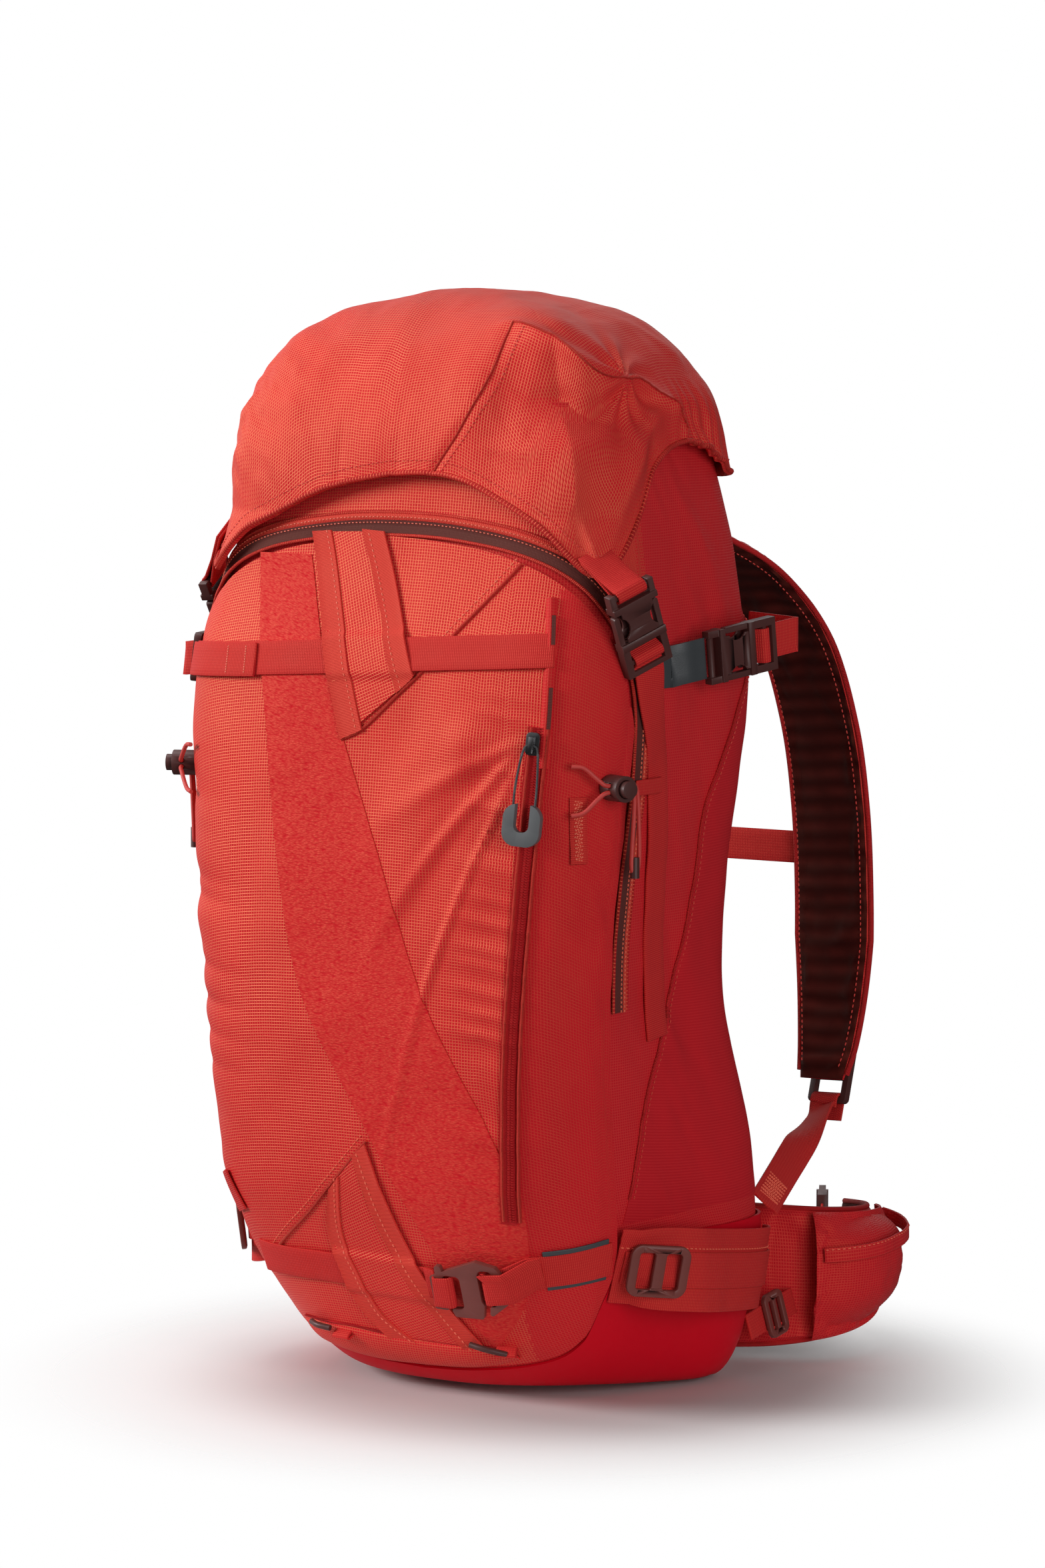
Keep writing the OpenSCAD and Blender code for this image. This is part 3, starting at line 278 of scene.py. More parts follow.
# %% Panels
def start_clean():
    if bpy.context.object and bpy.context.object.mode != "OBJECT":
        bpy.ops.object.mode_set(mode="OBJECT")
    bpy.ops.object.select_all(action="DESELECT")


def take(piece):
    start_clean()
    piece.select_set(True)
    bpy.context.view_layer.objects.active = piece
    return piece


def lay_weave(panel, u, v, points):
    order = np.lexsort((np.round(u, 5), np.round(v, 5)))
    columns = len(np.unique(np.round(u, 5)))
    grid = points[order].reshape(-1, columns, 3)
    across = np.cumsum(np.linalg.norm(np.diff(grid, axis=1, prepend=grid[:, :1]), axis=2), axis=1)
    along = np.cumsum(np.linalg.norm(np.diff(grid, axis=0, prepend=grid[:1]), axis=2), axis=0)
    across -= across[:, columns // 2, None]
    along -= along[len(along) // 2]
    threads = np.empty((len(points), 2), np.float32)
    threads[order] = np.stack([across, along], -1).reshape(-1, 2)
    corners = np.empty(len(panel.data.loops), np.int32)
    panel.data.loops.foreach_get("vertex_index", corners)
    panel.data.uv_layers.active.data.foreach_set("uv", threads[corners].ravel())


def panel(name, at, columns, rows):
    """A cloth panel whose point (u, v), each from 0 to 1, lies at at(u, v)."""
    start_clean()
    bpy.ops.mesh.primitive_grid_add(x_subdivisions=columns, y_subdivisions=rows, size=2)
    made = bpy.context.object
    made.name = made.data.name = name
    flat = np.empty(len(made.data.vertices) * 3, np.float32)
    made.data.vertices.foreach_get("co", flat)
    u, v = (flat.reshape(-1, 3)[:, :2].T.astype(float) + 1) / 2
    points = at(u, v) * MM
    made.data.vertices.foreach_set("co", points.astype(np.float32).ravel())
    made.data.update()
    lay_weave(made, u, v, points)
    return made


print("panels can be laid")

# %% Thickness and seams
def apply(piece, kind, **settings):
    take(piece)
    modifier = piece.modifiers.new(kind.lower(), kind)
    for key, value in settings.items():
        setattr(modifier, key, value)
    bpy.ops.object.modifier_apply(modifier=modifier.name)


def merge(piece, distance=0.05):
    take(piece)
    bpy.ops.object.mode_set(mode="EDIT")
    bpy.ops.mesh.select_all(action="SELECT")
    bpy.ops.mesh.remove_doubles(threshold=distance * MM)
    bpy.ops.object.mode_set(mode="OBJECT")


def thicken(piece, thickness, offset=0.0, edge=0.0, even=True):
    apply(piece, "SOLIDIFY", thickness=thickness * MM, offset=offset, use_even_offset=even)
    if edge:
        apply(piece, "BEVEL", width=edge * MM, segments=2, limit_method="ANGLE", angle_limit=math.radians(50))


print("panels can be given a thickness")

# %% Finishing a piece
def finish(piece, material, body, slot, *nodes, angle=50):
    take(piece)
    if material:
        piece.data.materials.clear()
        piece.data.materials.append(material)
    bpy.ops.object.shade_smooth_by_angle(angle=math.radians(angle))
    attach(piece, body)
    if nodes:
        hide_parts(*nodes)
    print(piece.name, "rides", body)
    return piece


def sewn(piece, thickness, material, body, slot, *nodes):
    """Give a panel its thickness, inward from the face that shows, and finish it."""
    thicken(piece, thickness, offset=-1)
    return finish(piece, material, body, slot, *nodes)


def crossing(piece, material, slot, node, a, b, start, end):
    """Finish a piece of cloth that crosses a joint, and bake its place into its mesh, on neither body."""
    take(piece)
    piece.data.materials.clear()
    piece.data.materials.append(material)
    bpy.ops.object.shade_smooth_by_angle(angle=math.radians(50))
    if node:
        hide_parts(node)
    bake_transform(piece)
    print(piece.name, "hangs between", a, "and", b)


def lined(piece, outer, inner, inside):
    """Two cloths on one pad: the lining wherever inside is true."""
    piece.data.materials.clear()
    piece.data.materials.append(outer)
    piece.data.materials.append(inner)
    piece.data.polygons.foreach_set("material_index", inside.astype(np.int32))


print("pieces can be finished and hung on a body")

# %% Joining and mirroring
def join(name, pieces):
    start_clean()
    for piece in pieces:
        piece.select_set(True)
    bpy.context.view_layer.objects.active = pieces[0]
    if len(pieces) > 1:
        bpy.ops.object.join()
    pieces[0].name = pieces[0].data.name = name
    return pieces[0]


def mirrored(piece, name):
    """A left-hand copy with its own mesh."""
    take(piece)
    bpy.ops.object.duplicate()
    copy = bpy.context.object
    copy.name = copy.data.name = name
    bpy.ops.transform.mirror(constraint_axis=(True, False, False), orient_type="GLOBAL", center_override=(0, 0, 0))
    bpy.ops.object.transform_apply(location=True, rotation=True, scale=True)
    bpy.ops.object.mode_set(mode="EDIT")
    bpy.ops.mesh.select_all(action="SELECT")
    bpy.ops.mesh.normals_make_consistent(inside=False)
    bpy.ops.object.mode_set(mode="OBJECT")
    return copy


def both_hands(name, piece):
    return join(name, [piece, mirrored(piece, name + "_left")])


def left_handed(piece, name):
    """The piece turned into its mirror image."""
    made = mirrored(piece, name)
    bpy.data.objects.remove(piece)
    return made


print("pieces can be joined and mirrored")

# %% [markdown]
# ## Webbing, piping and stitches
# Webbing is a flat band that turns with the surface below it. Piping and cord are round lines. A stitch is a tiny
# pillow of thread: it is shaped once and copied along a seam at an even pitch, as a sewing machine does.

# %% Bands
WEB_W = 20
WEB_T = 1.6
CLOTH_GAP = 0.8


def webbing(name, path, face, width=WEB_W, thickness=WEB_T, columns=4, edge=0.45, even=True):
    path, face = np.asarray(path, float), unit(np.asarray(face, float))
    along = heading(path)
    across = unit(np.cross(along, face))

    def at(u, v):
        row = np.rint(v * (len(path) - 1)).astype(int)
        return path[row] + ((u - 0.5) * width)[:, None] * across[row]

    band = panel(name, at, columns, len(path) - 1)
    thicken(band, thickness, edge=edge, even=even)
    return band


def on_bag(spots, off, count):
    """A line on the bag through (bearing, height) spots, with the way that it faces."""
    line = route(spots, count)
    return skin(line[:, 0], line[:, 1], off), bag_normal(line[:, 0], line[:, 1])


def laid_webbing(name, spots, low, width=WEB_W, thickness=WEB_T, count=60):
    path, face = on_bag(spots, low + thickness / 2, count)
    return webbing(name, path, face, width, thickness)


print("webbing is", WEB_W, "by", WEB_T, "mm")

# %% Piping
def line_object(name, path, diameter, sides=3):
    curve = bpy.data.curves.new(name, "CURVE")
    curve.dimensions = "3D"
    curve.bevel_depth = diameter / 2 * MM
    curve.bevel_resolution = sides
    curve.use_fill_caps = True
    spline = curve.splines.new("POLY")
    spline.points.add(len(path) - 1)
    knots = np.column_stack([np.asarray(path) * MM, np.ones(len(path))])
    spline.points.foreach_set("co", knots.astype(np.float32).ravel())
    made = bpy.data.objects.new(name, curve)
    bpy.context.scene.collection.objects.link(made)
    return made


def piping(name, paths, diameter, sides=2):
    lines = [line_object(name, path, diameter, sides) for path in paths]
    for line in lines:
        take(line)
        bpy.ops.object.convert(target="MESH")
    return join(name, lines)


print("lines can be piped")

# %% Stitches
STITCH_RIM = ((-1, 0), (-0.6, -1), (0.6, -1), (1, 0), (0.6, 1), (-0.6, 1))
STITCH = np.array([[x, y, z] for z in (0, 1) for x, y in STITCH_RIM], float)
STITCH[6:, :2] *= 0.6
STITCH_FACES = [(5, 4, 3, 2, 1, 0), (6, 7, 8, 9, 10, 11)] + [
    (k, (k + 1) % 6, (k + 1) % 6 + 6, k + 6) for k in range(6)
]


def stitches(name, rows, pitch=3.4, length=2.3, width=0.7, height=0.5):
    """Stitches along rows of (path, face) pairs."""
    points, faces = [], []
    for path, face in rows:
        gone = distances(path)
        spots = np.arange(pitch / 2, gone[-1], pitch)
        middle, up = read_at(spots, gone, path), unit(read_at(spots, gone, face))
        along = unit(read_at(spots + 0.5, gone, path) - read_at(spots - 0.5, gone, path))
        side = unit(np.cross(up, along))
        for k in range(len(spots)):
            base = 12 * len(points)
            turn = np.stack([along[k] * length / 2, side[k] * width / 2, up[k] * height])
            points.append(middle[k] + STITCH @ turn)
            faces += [[base + corner for corner in loop] for loop in STITCH_FACES]
    mesh = bpy.data.meshes.new(name)
    mesh.from_pydata((np.concatenate(points) * MM).tolist(), [], faces)
    made = bpy.data.objects.new(name, mesh)
    bpy.context.scene.collection.objects.link(made)
    return made


print("a stitch has", len(STITCH), "points")

# %% [markdown]
# ## Finishes
# Each cloth is drawn from its own threads: the grid of a ripstop, the ribs of webbing, the crumbs of a crepe patch.
# The pattern reads the UV map, whose unit is a metre of thread, and also drives a bump, so light catches the weave.

# %% A small kit for shader nodes
class Finish:
    def __init__(self, name, roughness=0.6, **sockets):
        self.material = bpy.data.materials.new(name)
        self.material.use_nodes = True
        self.tree = self.material.node_tree
        self.shader = self.tree.nodes["Principled BSDF"]
        self.shader.inputs["Roughness"].default_value = roughness
        for socket, value in sockets.items():
            self.shader.inputs[socket.replace("_", " ")].default_value = value

    def node(self, kind, **settings):
        made = self.tree.nodes.new(kind)
        for key, value in settings.items():
            setattr(made, key, value)
        return made

    def feed(self, socket, value):
        if isinstance(value, bpy.types.NodeSocket):
            self.tree.links.new(value, socket)
        else:
            socket.default_value = value

    def math(self, operation, *values):
        made = self.node("ShaderNodeMath", operation=operation)
        for socket, value in zip(made.inputs, values):
            self.feed(socket, value)
        return made.outputs[0]

    def threads(self):
        """The distances along the two threads of a panel."""
        split = self.node("ShaderNodeSeparateXYZ")
        self.feed(split.inputs[0], self.node("ShaderNodeUVMap").outputs[0])
        return split.outputs[0], split.outputs[1]

    def place(self):
        return self.node("ShaderNodeTexCoord").outputs["Object"]

    def ridge(self, distance, pitch, sharp=0.35):
        """1 on lines a pitch apart, falling to 0 between them."""
        phase = self.math("FRACT", self.math("DIVIDE", distance, pitch * MM))
        away = self.math("ABSOLUTE", self.math("SUBTRACT", phase, 0.5))
        ramp = self.node("ShaderNodeMapRange", interpolation_type="SMOOTHSTEP")
        for socket, value in zip(ramp.inputs, (away, 0.5 - sharp, 0.5, 0.0, 1.0)):
            self.feed(socket, value)
        return ramp.outputs[0]

    def noise(self, size, detail=3.0):
        made = self.node("ShaderNodeTexNoise")
        self.feed(made.inputs["Vector"], self.place())
        made.inputs["Scale"].default_value = 1 / (size * MM)
        made.inputs["Detail"].default_value = detail
        return made.outputs["Fac"]

    def colour(self, low, high, factor):
        made = self.node("ShaderNodeMix", data_type="RGBA")
        self.feed(made.inputs["Factor"], factor)
        for socket, value in zip((made.inputs[6], made.inputs[7]), (low, high)):
            self.feed(socket, value if isinstance(value, bpy.types.NodeSocket) else (*value, 1))
        return made.outputs[2]

    def paint(self, colour):
        self.feed(self.shader.inputs["Base Color"], colour)

    def bump(self, height, depth):
        made = self.node("ShaderNodeBump")
        made.inputs["Distance"].default_value = depth * MM
        made.inputs["Strength"].default_value = 1.0
        self.feed(made.inputs["Height"], height)
        self.feed(self.shader.inputs["Normal"], made.outputs[0])

    def rough(self, low, high, factor):
        made = self.node("ShaderNodeMapRange")
        for socket, value in zip(made.inputs, (factor, 0.0, 1.0, low, high)):
            self.feed(socket, value)
        self.feed(self.shader.inputs["Roughness"], made.outputs[0])


print("finishes can be drawn from nodes")

# %% Cloth finishes
SHEEN = (1.0, 0.45, 0.20, 1)


def ripstop(name, base, thread, pitch=(1.3, 1.3), strength=0.35, sharp=0.3, gleam=1.0):
    """Plain cloth crossed by a grid of brighter, thicker threads that gleam in the light."""
    cloth = Finish(name, Specular_Tint=SHEEN)
    u, v = cloth.threads()
    grid = cloth.math("MAXIMUM", cloth.ridge(u, pitch[0], sharp), cloth.ridge(v, pitch[1], sharp))
    worn = cloth.noise(38, 4.0)
    shade = cloth.colour([0.9 * c for c in base], [1.08 * c for c in base], worn)
    cloth.paint(cloth.colour(shade, thread, cloth.math("MULTIPLY", grid, strength)))
    cloth.rough(0.42, 0.56, worn)
    cloth.feed(cloth.shader.inputs["Specular IOR Level"], cloth.math("MULTIPLY_ADD", grid, gleam, 0.15))
    cloth.bump(cloth.math("ADD", grid, cloth.math("MULTIPLY", cloth.noise(3, 2.0), 0.6)), 0.12)
    return cloth.material


def ribbed(name, base, high, pitch, cross=0.0, depth=0.14, gleam=0.2):
    """Webbing and ribbon: ribs across the length, and a fainter line of warp."""
    cloth = Finish(name, Specular_IOR_Level=gleam, Specular_Tint=SHEEN)
    u, v = cloth.threads()
    rib = cloth.ridge(v, pitch, 0.45)
    if cross:
        warp = cloth.math("MULTIPLY", cloth.ridge(u, cross, 0.45), 0.55)
        rib = cloth.math("MULTIPLY", rib, cloth.math("ADD", 0.45, warp))
    worn = cloth.noise(22, 3.0)
    shade = cloth.colour([0.85 * c for c in base], base, worn)
    cloth.paint(cloth.colour(shade, high, cloth.math("MULTIPLY", rib, 0.6)))
    cloth.rough(0.5, 0.7, worn)
    cloth.bump(rib, depth)
    return cloth.material


print("sheen is", SHEEN[:3])

# %% Quilted, crumbed and plain finishes
def quilted(name, base, high, channel):
    """A dark lining sewn across in channels, whose plump middles are bumped up and painted lighter as a painted
    highlight.
    """
    cloth = Finish(name, roughness=0.62, Specular_IOR_Level=0.12, Specular_Tint=SHEEN)
    u, v = cloth.threads()
    full = cloth.math("SUBTRACT", 1.0, cloth.ridge(v, channel, 0.5))
    weave = cloth.math("MULTIPLY", cloth.ridge(u, 1.2, 0.45), cloth.ridge(v, 1.2, 0.45))
    # Painted highlight: the middle of each channel is painted lighter, with a little noise, so the sewn lines stay
    # dark.
    soft = cloth.math("MULTIPLY", full, cloth.noise(16, 2.0))
    cloth.paint(cloth.colour(base, high, cloth.math("MULTIPLY_ADD", weave, 0.2, soft)))
    cloth.bump(full, 0.6)
    return cloth.material


def crumbed(name, base, high, size=1.6, gleam=0.2):
    """A tough crepe cloth: long raised crumbs that all lean one way across the threads."""
    cloth = Finish(name, roughness=0.6, Specular_Tint=SHEEN)
    lean = cloth.node("ShaderNodeMapping")
    lean.inputs["Rotation"].default_value = (0, 0, math.radians(35))
    lean.inputs["Scale"].default_value = (0.42, 1, 1)
    cloth.feed(lean.inputs["Vector"], cloth.node("ShaderNodeUVMap").outputs[0])
    cell = cloth.node("ShaderNodeTexVoronoi", feature="F1")
    cell.inputs["Scale"].default_value = 1 / (size * MM)
    cell.inputs["Randomness"].default_value = 1.0
    cloth.feed(cell.inputs["Vector"], lean.outputs[0])
    crumb = cloth.math("SUBTRACT", 1.0, cell.outputs["Distance"])
    rough = cloth.math("MULTIPLY", crumb, cloth.noise(2.2, 3.0))
    cloth.paint(cloth.colour(base, high, rough))
    cloth.feed(cloth.shader.inputs["Specular IOR Level"], cloth.math("MULTIPLY", rough, gleam))
    cloth.bump(rough, 0.45)
    return cloth.material


def plain(name, base, high, weave=0.9, depth=0.08, roughness=0.55, **sockets):
    """Close-woven or coated cloth, moulded plastic and paint: a fine grain over slow changes of tone."""
    cloth = Finish(name, roughness, **sockets)
    worn = cloth.noise(45, 4.0)
    cloth.paint(cloth.colour(base, high, worn))
    cloth.rough(roughness - 0.08, roughness + 0.08, cloth.noise(9, 3.0))
    cloth.bump(cloth.noise(weave, 2.0), depth)
    return cloth.material


print("five kinds of finish can be made")

# %% The cloths and their colours
RED = (0.62, 0.012, 0.023)
RED_LIGHT = (0.93, 0.20, 0.08)
DEEP = (0.56, 0.001, 0.011)
BROWN = (0.062, 0.019, 0.017)

GRID = {"pitch": (1.85, 1.75), "sharp": 0.22}
lid_cloth = ripstop("lid_ripstop", RED, RED_LIGHT, strength=0.22, gleam=2.4, **GRID)
panel_cloth = ripstop("panel_ripstop", RED, RED_LIGHT, strength=0.22, gleam=2.4, **GRID)
# Painted shade: the panel's ripstop again, with duller threads and less gleam, for the part that turns away from the
# lamps.
gusset_cloth_painted_shade = ripstop("gusset_ripstop_painted_shade", (0.60, 0.012, 0.022), (0.74, 0.07, 0.045), strength=0.3, gleam=0.5, **GRID)
side_cloth = ripstop("side_ripstop", (0.56, 0.010, 0.020), (0.80, 0.055, 0.05), gleam=0.4,
                     pitch=(2.0, 1.6), strength=0.45)
rear_cloth = ribbed("rear_cloth", (0.55, 0.011, 0.021), (0.62, 0.022, 0.03), 1.7, depth=0.08)
boot_cloth = plain("boot_cloth", DEEP, (0.62, 0.002, 0.013), weave=0.8, roughness=0.55, Specular_IOR_Level=0.12)
lining_cloth = plain("inner_lining", (0.30, 0.012, 0.012), (0.38, 0.02, 0.018), weave=1.2, depth=0.15)
patch_cloth = crumbed("crepe_patch", (0.60, 0.014, 0.022), (0.82, 0.085, 0.052), size=0.95, gleam=1.1)
web_cloth = ribbed("webbing_weave", (0.54, 0.012, 0.020), (0.80, 0.075, 0.050), 1.2,
                   cross=1.7, depth=0.22, gleam=0.35)
ribbon_cloth = ribbed("binding_ribbon", (0.60, 0.018, 0.022), (0.84, 0.10, 0.060), 0.9, depth=0.12, gleam=0.45)
zip_tape = ribbed("zip_tape", (0.10, 0.026, 0.025), (0.17, 0.052, 0.047), 0.9, cross=1.3)
zip_edge = ribbed("zip_edge_tape", (0.64, 0.024, 0.026), (0.90, 0.15, 0.085), 1.2, cross=1.2, depth=0.25, gleam=0.5)
stash_tape = ribbed("stash_tape", (0.47, 0.010, 0.017), (0.60, 0.03, 0.034), 1.0, cross=1.2)
stash_coil = plain("stash_coil", (0.36, 0.010, 0.012), (0.46, 0.02, 0.02), roughness=0.45, Specular_IOR_Level=0.2)
wear_cloth = plain("wear_cloth", (0.036, 0.040, 0.044), (0.052, 0.057, 0.062), weave=0.7, roughness=0.5)
quilt_cloth = quilted("quilted_lining", (0.040, 0.0055, 0.005), (0.115, 0.017, 0.014), 11)
mesh_cloth = crumbed("pad_mesh", (0.05, 0.012, 0.010), (0.12, 0.034, 0.028), size=2.4, gleam=0.1)
thread_light = plain("thread_light", (0.80, 0.12, 0.07), (0.90, 0.18, 0.10), weave=0.4)
thread_red = plain("thread_red", (0.58, 0.03, 0.022), (0.68, 0.05, 0.03), weave=0.4)
print(len(bpy.data.materials), "cloths and threads")

# %% Plastic, metal and cord
buckle_plastic = plain("buckle_plastic", BROWN, (0.085, 0.028, 0.025), weave=0.35, depth=0.02,
                       roughness=0.42, Specular_IOR_Level=0.35)
hook_paint = plain("hook_paint", (0.15, 0.032, 0.026), (0.19, 0.045, 0.037), weave=0.6, depth=0.03,
                   roughness=0.42, Specular_IOR_Level=0.4)
gunmetal = plain("gunmetal", (0.10, 0.10, 0.105), (0.16, 0.16, 0.165), weave=0.3, depth=0.01,
                 roughness=0.28, Metallic=1.0)
alloy = plain("stay_alloy", (0.55, 0.55, 0.57), (0.65, 0.65, 0.66), weave=0.4, depth=0.02,
              roughness=0.35, Metallic=1.0)
sheet_plastic = plain("frame_plastic", (0.045, 0.045, 0.05), (0.06, 0.06, 0.065), weave=0.8, roughness=0.5)
grip_rubber = plain("grip_rubber", (0.085, 0.09, 0.095), (0.12, 0.125, 0.13), weave=0.5, depth=0.03, roughness=0.5)
grey_cord = ribbed("grey_cord", (0.13, 0.14, 0.15), (0.22, 0.23, 0.24), 1.0)
shock_cord = plain("shock_cord", (0.50, 0.03, 0.025), (0.60, 0.05, 0.04), weave=0.6, depth=0.12)
print(len(bpy.data.materials), "finishes")

# %% [markdown]
# ## The bag, its boot and its front panel
# The bag's skin is one tube of cloth, joined down the middle of the back where the pads hide the seam. The boot is a
# deep cup of coated cloth: a square grid is draped over the base and up the walls, so it has no pole under it. The
# front panel is laid over both, and stops short of the arched zip.

# %% Bag skin
BOOT_TURN, BOOT_Z = [0, 25, 46, 55, 58, 62, 70, 180], [14, 17, 25, 40, 64, 86, 98, 98]


def boot_line(phi):
    return smooth(np.abs(bearing(phi)), BOOT_TURN, BOOT_Z)


def bag_at(u, v):
    return skin(-270 + 360 * u, mix(3.6, RIM_Z, v))


bag = panel("bag_skin", bag_at, 288, 176)
merge(bag)
sewn(bag, 2.6, side_cloth, "pack", "shell_fabric", "main_bag")

# %% Bag floor
def draped(s, t):
    """The ring and the bearing of a point of a square grid draped over a round-cornered box."""
    return np.maximum(np.abs(s), np.abs(t)), np.degrees(np.arctan2(t, s))


def floor_at(u, v):
    ring, phi = draped(2 * u - 1, 2 * v - 1)
    edge = skin(phi, 0 * phi + 4, -3.2)
    middle = np.array([0, 29, 5.0])
    return middle + ring[:, None] * (edge - middle)


bottom = panel("bag_floor_cloth", floor_at, 40, 40)
thicken(bottom, 2.0)
finish(bottom, lining_cloth, "pack", "shell_fabric", "bag_floor")

# %% Boot
BOOT_OFF = 2.6
FLOOR_SHARE = 0.45


def boot_at(u, v):
    ring, phi = draped(2 * u - 1, 1 - 2 * v)
    floor = skin(phi, 0 * phi, BOOT_OFF) * (np.minimum(ring, FLOOR_SHARE) / FLOOR_SHARE)[:, None]
    rise = np.clip((ring - FLOOR_SHARE) / (1 - FLOOR_SHARE), 0, 1)
    wall = skin(phi, rise * boot_line(phi), BOOT_OFF)
    return np.where((ring < FLOOR_SHARE)[:, None], floor, wall)


boot = panel("boot_skin", boot_at, 150, 150)
sewn(boot, 1.6, boot_cloth, "pack", "boot_fabric", "base_boot")

# %% Front panel
PANEL_EDGE = 61
PANEL_OFF = 3.6
ARCH_TURN = [0, 18, 34, 46, 56, 62, 64.5, 64.6]
ARCH_Z = [514, 511, 503, 486, 456, 420, 380, 238]


def arch_z(d):
    return smooth(np.minimum(np.abs(d), 64), ARCH_TURN, ARCH_Z)


def panel_at(u, v):
    d = mix(-PANEL_EDGE, PANEL_EDGE, u)
    z = mix(boot_line(d - 90) + 4, arch_z(np.abs(d) + 3.6) - 6, v)
    return skin(d - 90, z, PANEL_OFF)


def stash_x(z):
    """The line of the stash zip, where the panel turns to the side and its cloth changes to a copy with painted
    shade.
    """
    return 92 + 23 * (z - 125) / 272


FRONT_COLUMNS = 140
front = panel("front_skin", panel_at, FRONT_COLUMNS, 200)
thicken(front, 2.2, offset=-1)
height = np.array([face.center.z for face in front.data.polygons]) / MM
column = np.arange(len(height)) % FRONT_COLUMNS
turn = mix(-PANEL_EDGE, PANEL_EDGE, (column + 0.5) / FRONT_COLUMNS)
# Past the stash zip the panel wears the copy of its cloth with painted shade.
lined(front, panel_cloth, gusset_cloth_painted_shade, turn - 90 > front_phi(stash_x(height), height))
finish(front, None, "pack", "shell_fabric", "front_panel")

# %% Cloth above the arched zip
def collar_front_at(u, v):
    d = mix(-66, 66, u)
    return skin(d - 90, mix(arch_z(d) + 6, 575, v), 0.9)


band = panel("top_front", collar_front_at, 140, 50)
sewn(band, 1.0, panel_cloth, "pack", "shell_fabric")

# %% [markdown]
# ## Lines on the front
# The panel is not one cloth. A tough crepe patch crosses it where ski edges rub, the load straps run under two
# sleeves of ribbon and ripstop, and seams join the pieces. Each is a flat shape between two drawn edges, laid one
# layer above the last, and rows of stitches run along the seams and the sleeves' ribbons.

# %% Helpers for shapes drawn on the front
def front_skin(x, z, off):
    return skin(front_phi(x, z), z, off)


def edges_at(left, right):
    """Fills the shape between two edge lines, each a smooth line through (x, z) points from the foot to the head."""

    def edge(line, v):
        knots = np.arange(len(line)) / (len(line) - 1)
        return np.stack([smooth(v, knots, column) for column in np.array(line, float).T], -1)

    def spot(u, v):
        return mix(edge(left, v), edge(right, v), u[:, None])

    return spot


def applique(name, left, right, off, thickness, columns, rows, puff=0.0):
    """A shape sewn on the front, with its outer face at an offset from the bag."""
    spot = edges_at(left, right)

    def at(u, v):
        x, z = spot(u, v).T
        swell = puff * (4 * u * (1 - u)) ** 0.5
        return skin(front_phi(x, z), z, off) + swell[:, None] * bag_normal(front_phi(x, z), z)

    made = panel(name, at, columns, rows)
    thicken(made, thickness, offset=-1)
    return made


def front_line(points, off, count=60):
    """A line on the front through (x, z) points, with the way that it faces."""
    x, z = route(points, count).T
    return skin(front_phi(x, z), z, off), bag_normal(front_phi(x, z), z)


print("shapes can be sewn on the front")

# %% Ski patch
PATCH_HI = PANEL_OFF + 0.5
PATCH_LEFT = [(57, 36), (43, 62), (34, 92), (17, 129), (-1, 165),
              (-43, 245), (-60, 325), (-70, 392), (-80, 440), (-94, 496)]
PATCH_RIGHT = [(60, 36), (84, 60), (97, 88), (100, 125), (82, 167),
               (40, 245), (10, 325), (-18, 392), (-35, 440), (-54, 496)]
patch = applique("ski_patch", PATCH_LEFT, PATCH_RIGHT, PATCH_HI, 1.0, 60, 220)
finish(patch, patch_cloth, "pack", "shell_fabric", "panel_trim")

# %% Sleeves over the straps
STRAP_LOW = PATCH_HI + 0.1
STRAP_HIGH = STRAP_LOW + WEB_T
UPPER_RUN = (-139, -50, 432, 446.5)
LOWER_RUN = (-132, -68, 78, 75.3)
UPPER_LEFT, UPPER_RIGHT = [(-19, 391), (-36, 450), (-54, 509)], [(28, 429), (12, 470), (-4, 510)]
LOWER_LEFT = [(-5, 27), (-26, 54), (-32, 77), (-36, 100), (-30, 127)]
LOWER_RIGHT = [(53, 33), (27, 77), (17, 98), (7, 128), (-2, 157)]


def strap_z(run, phi):
    """The height of a strap at a bearing; a run is its two ends' bearings, then their heights."""
    a, b, low, high = run
    return mix(low, high, (phi - a) / (b - a))


def over_strap(phi, z):
    """How far a sleeve is lifted by the strap inside it."""
    lift = 0 * z
    for run in (UPPER_RUN, LOWER_RUN):
        apart = np.abs(z - strap_z(run, phi))
        lift = np.maximum(lift, np.clip((WEB_W / 2 + 5 - apart) / 5, 0, 1))
    return WEB_T * lift * lift * (3 - 2 * lift)


def sleeve(name, left, right, off, thickness, columns):
    spot = edges_at(left, right)

    def at(u, v):
        x, z = spot(u, v).T
        phi = front_phi(x, z)
        gape = 0.5 * (bump_at(u, 0, 0.12) + bump_at(u, 1, 0.12)) + off + over_strap(phi, z)
        return skin(phi, z, PATCH_HI) + gape[:, None] * bag_normal(phi, z)

    made = panel(name, at, columns, 70)
    thicken(made, thickness, offset=-1)
    return made


print("webbing lifts a sleeve by", WEB_T, "mm")

# %% Sleeves and ribbons
sleeves = [
    sleeve("upper_sleeve", UPPER_LEFT, UPPER_RIGHT, 0.7, 0.6, 30),
    sleeve("lower_sleeve", LOWER_LEFT, LOWER_RIGHT, 0.7, 0.6, 30),
]
finish(join("strap_sleeves", sleeves), panel_cloth, "pack", "shell_fabric", "panel_trim")
ribbons = [
    sleeve("r1", UPPER_LEFT, [(-5, 397), (-22, 453), (-41, 510)], 1.1, 1.1, 8),
    sleeve("r2", [(17, 419), (0, 465), (-19, 511)], UPPER_RIGHT, 1.1, 1.1, 8),
    sleeve("r3", LOWER_LEFT, [(13, 29), (-11, 50), (-20, 77), (-26, 100), (-22, 136)], 1.1, 1.1, 8),
    sleeve("r4", [(38, 32), (16, 70), (4, 97), (-4, 122), (-11, 149)], LOWER_RIGHT, 1.1, 1.1, 8),
]
finish(join("sleeve_ribbons", ribbons), ribbon_cloth, "pack", "webbing", "panel_trim")

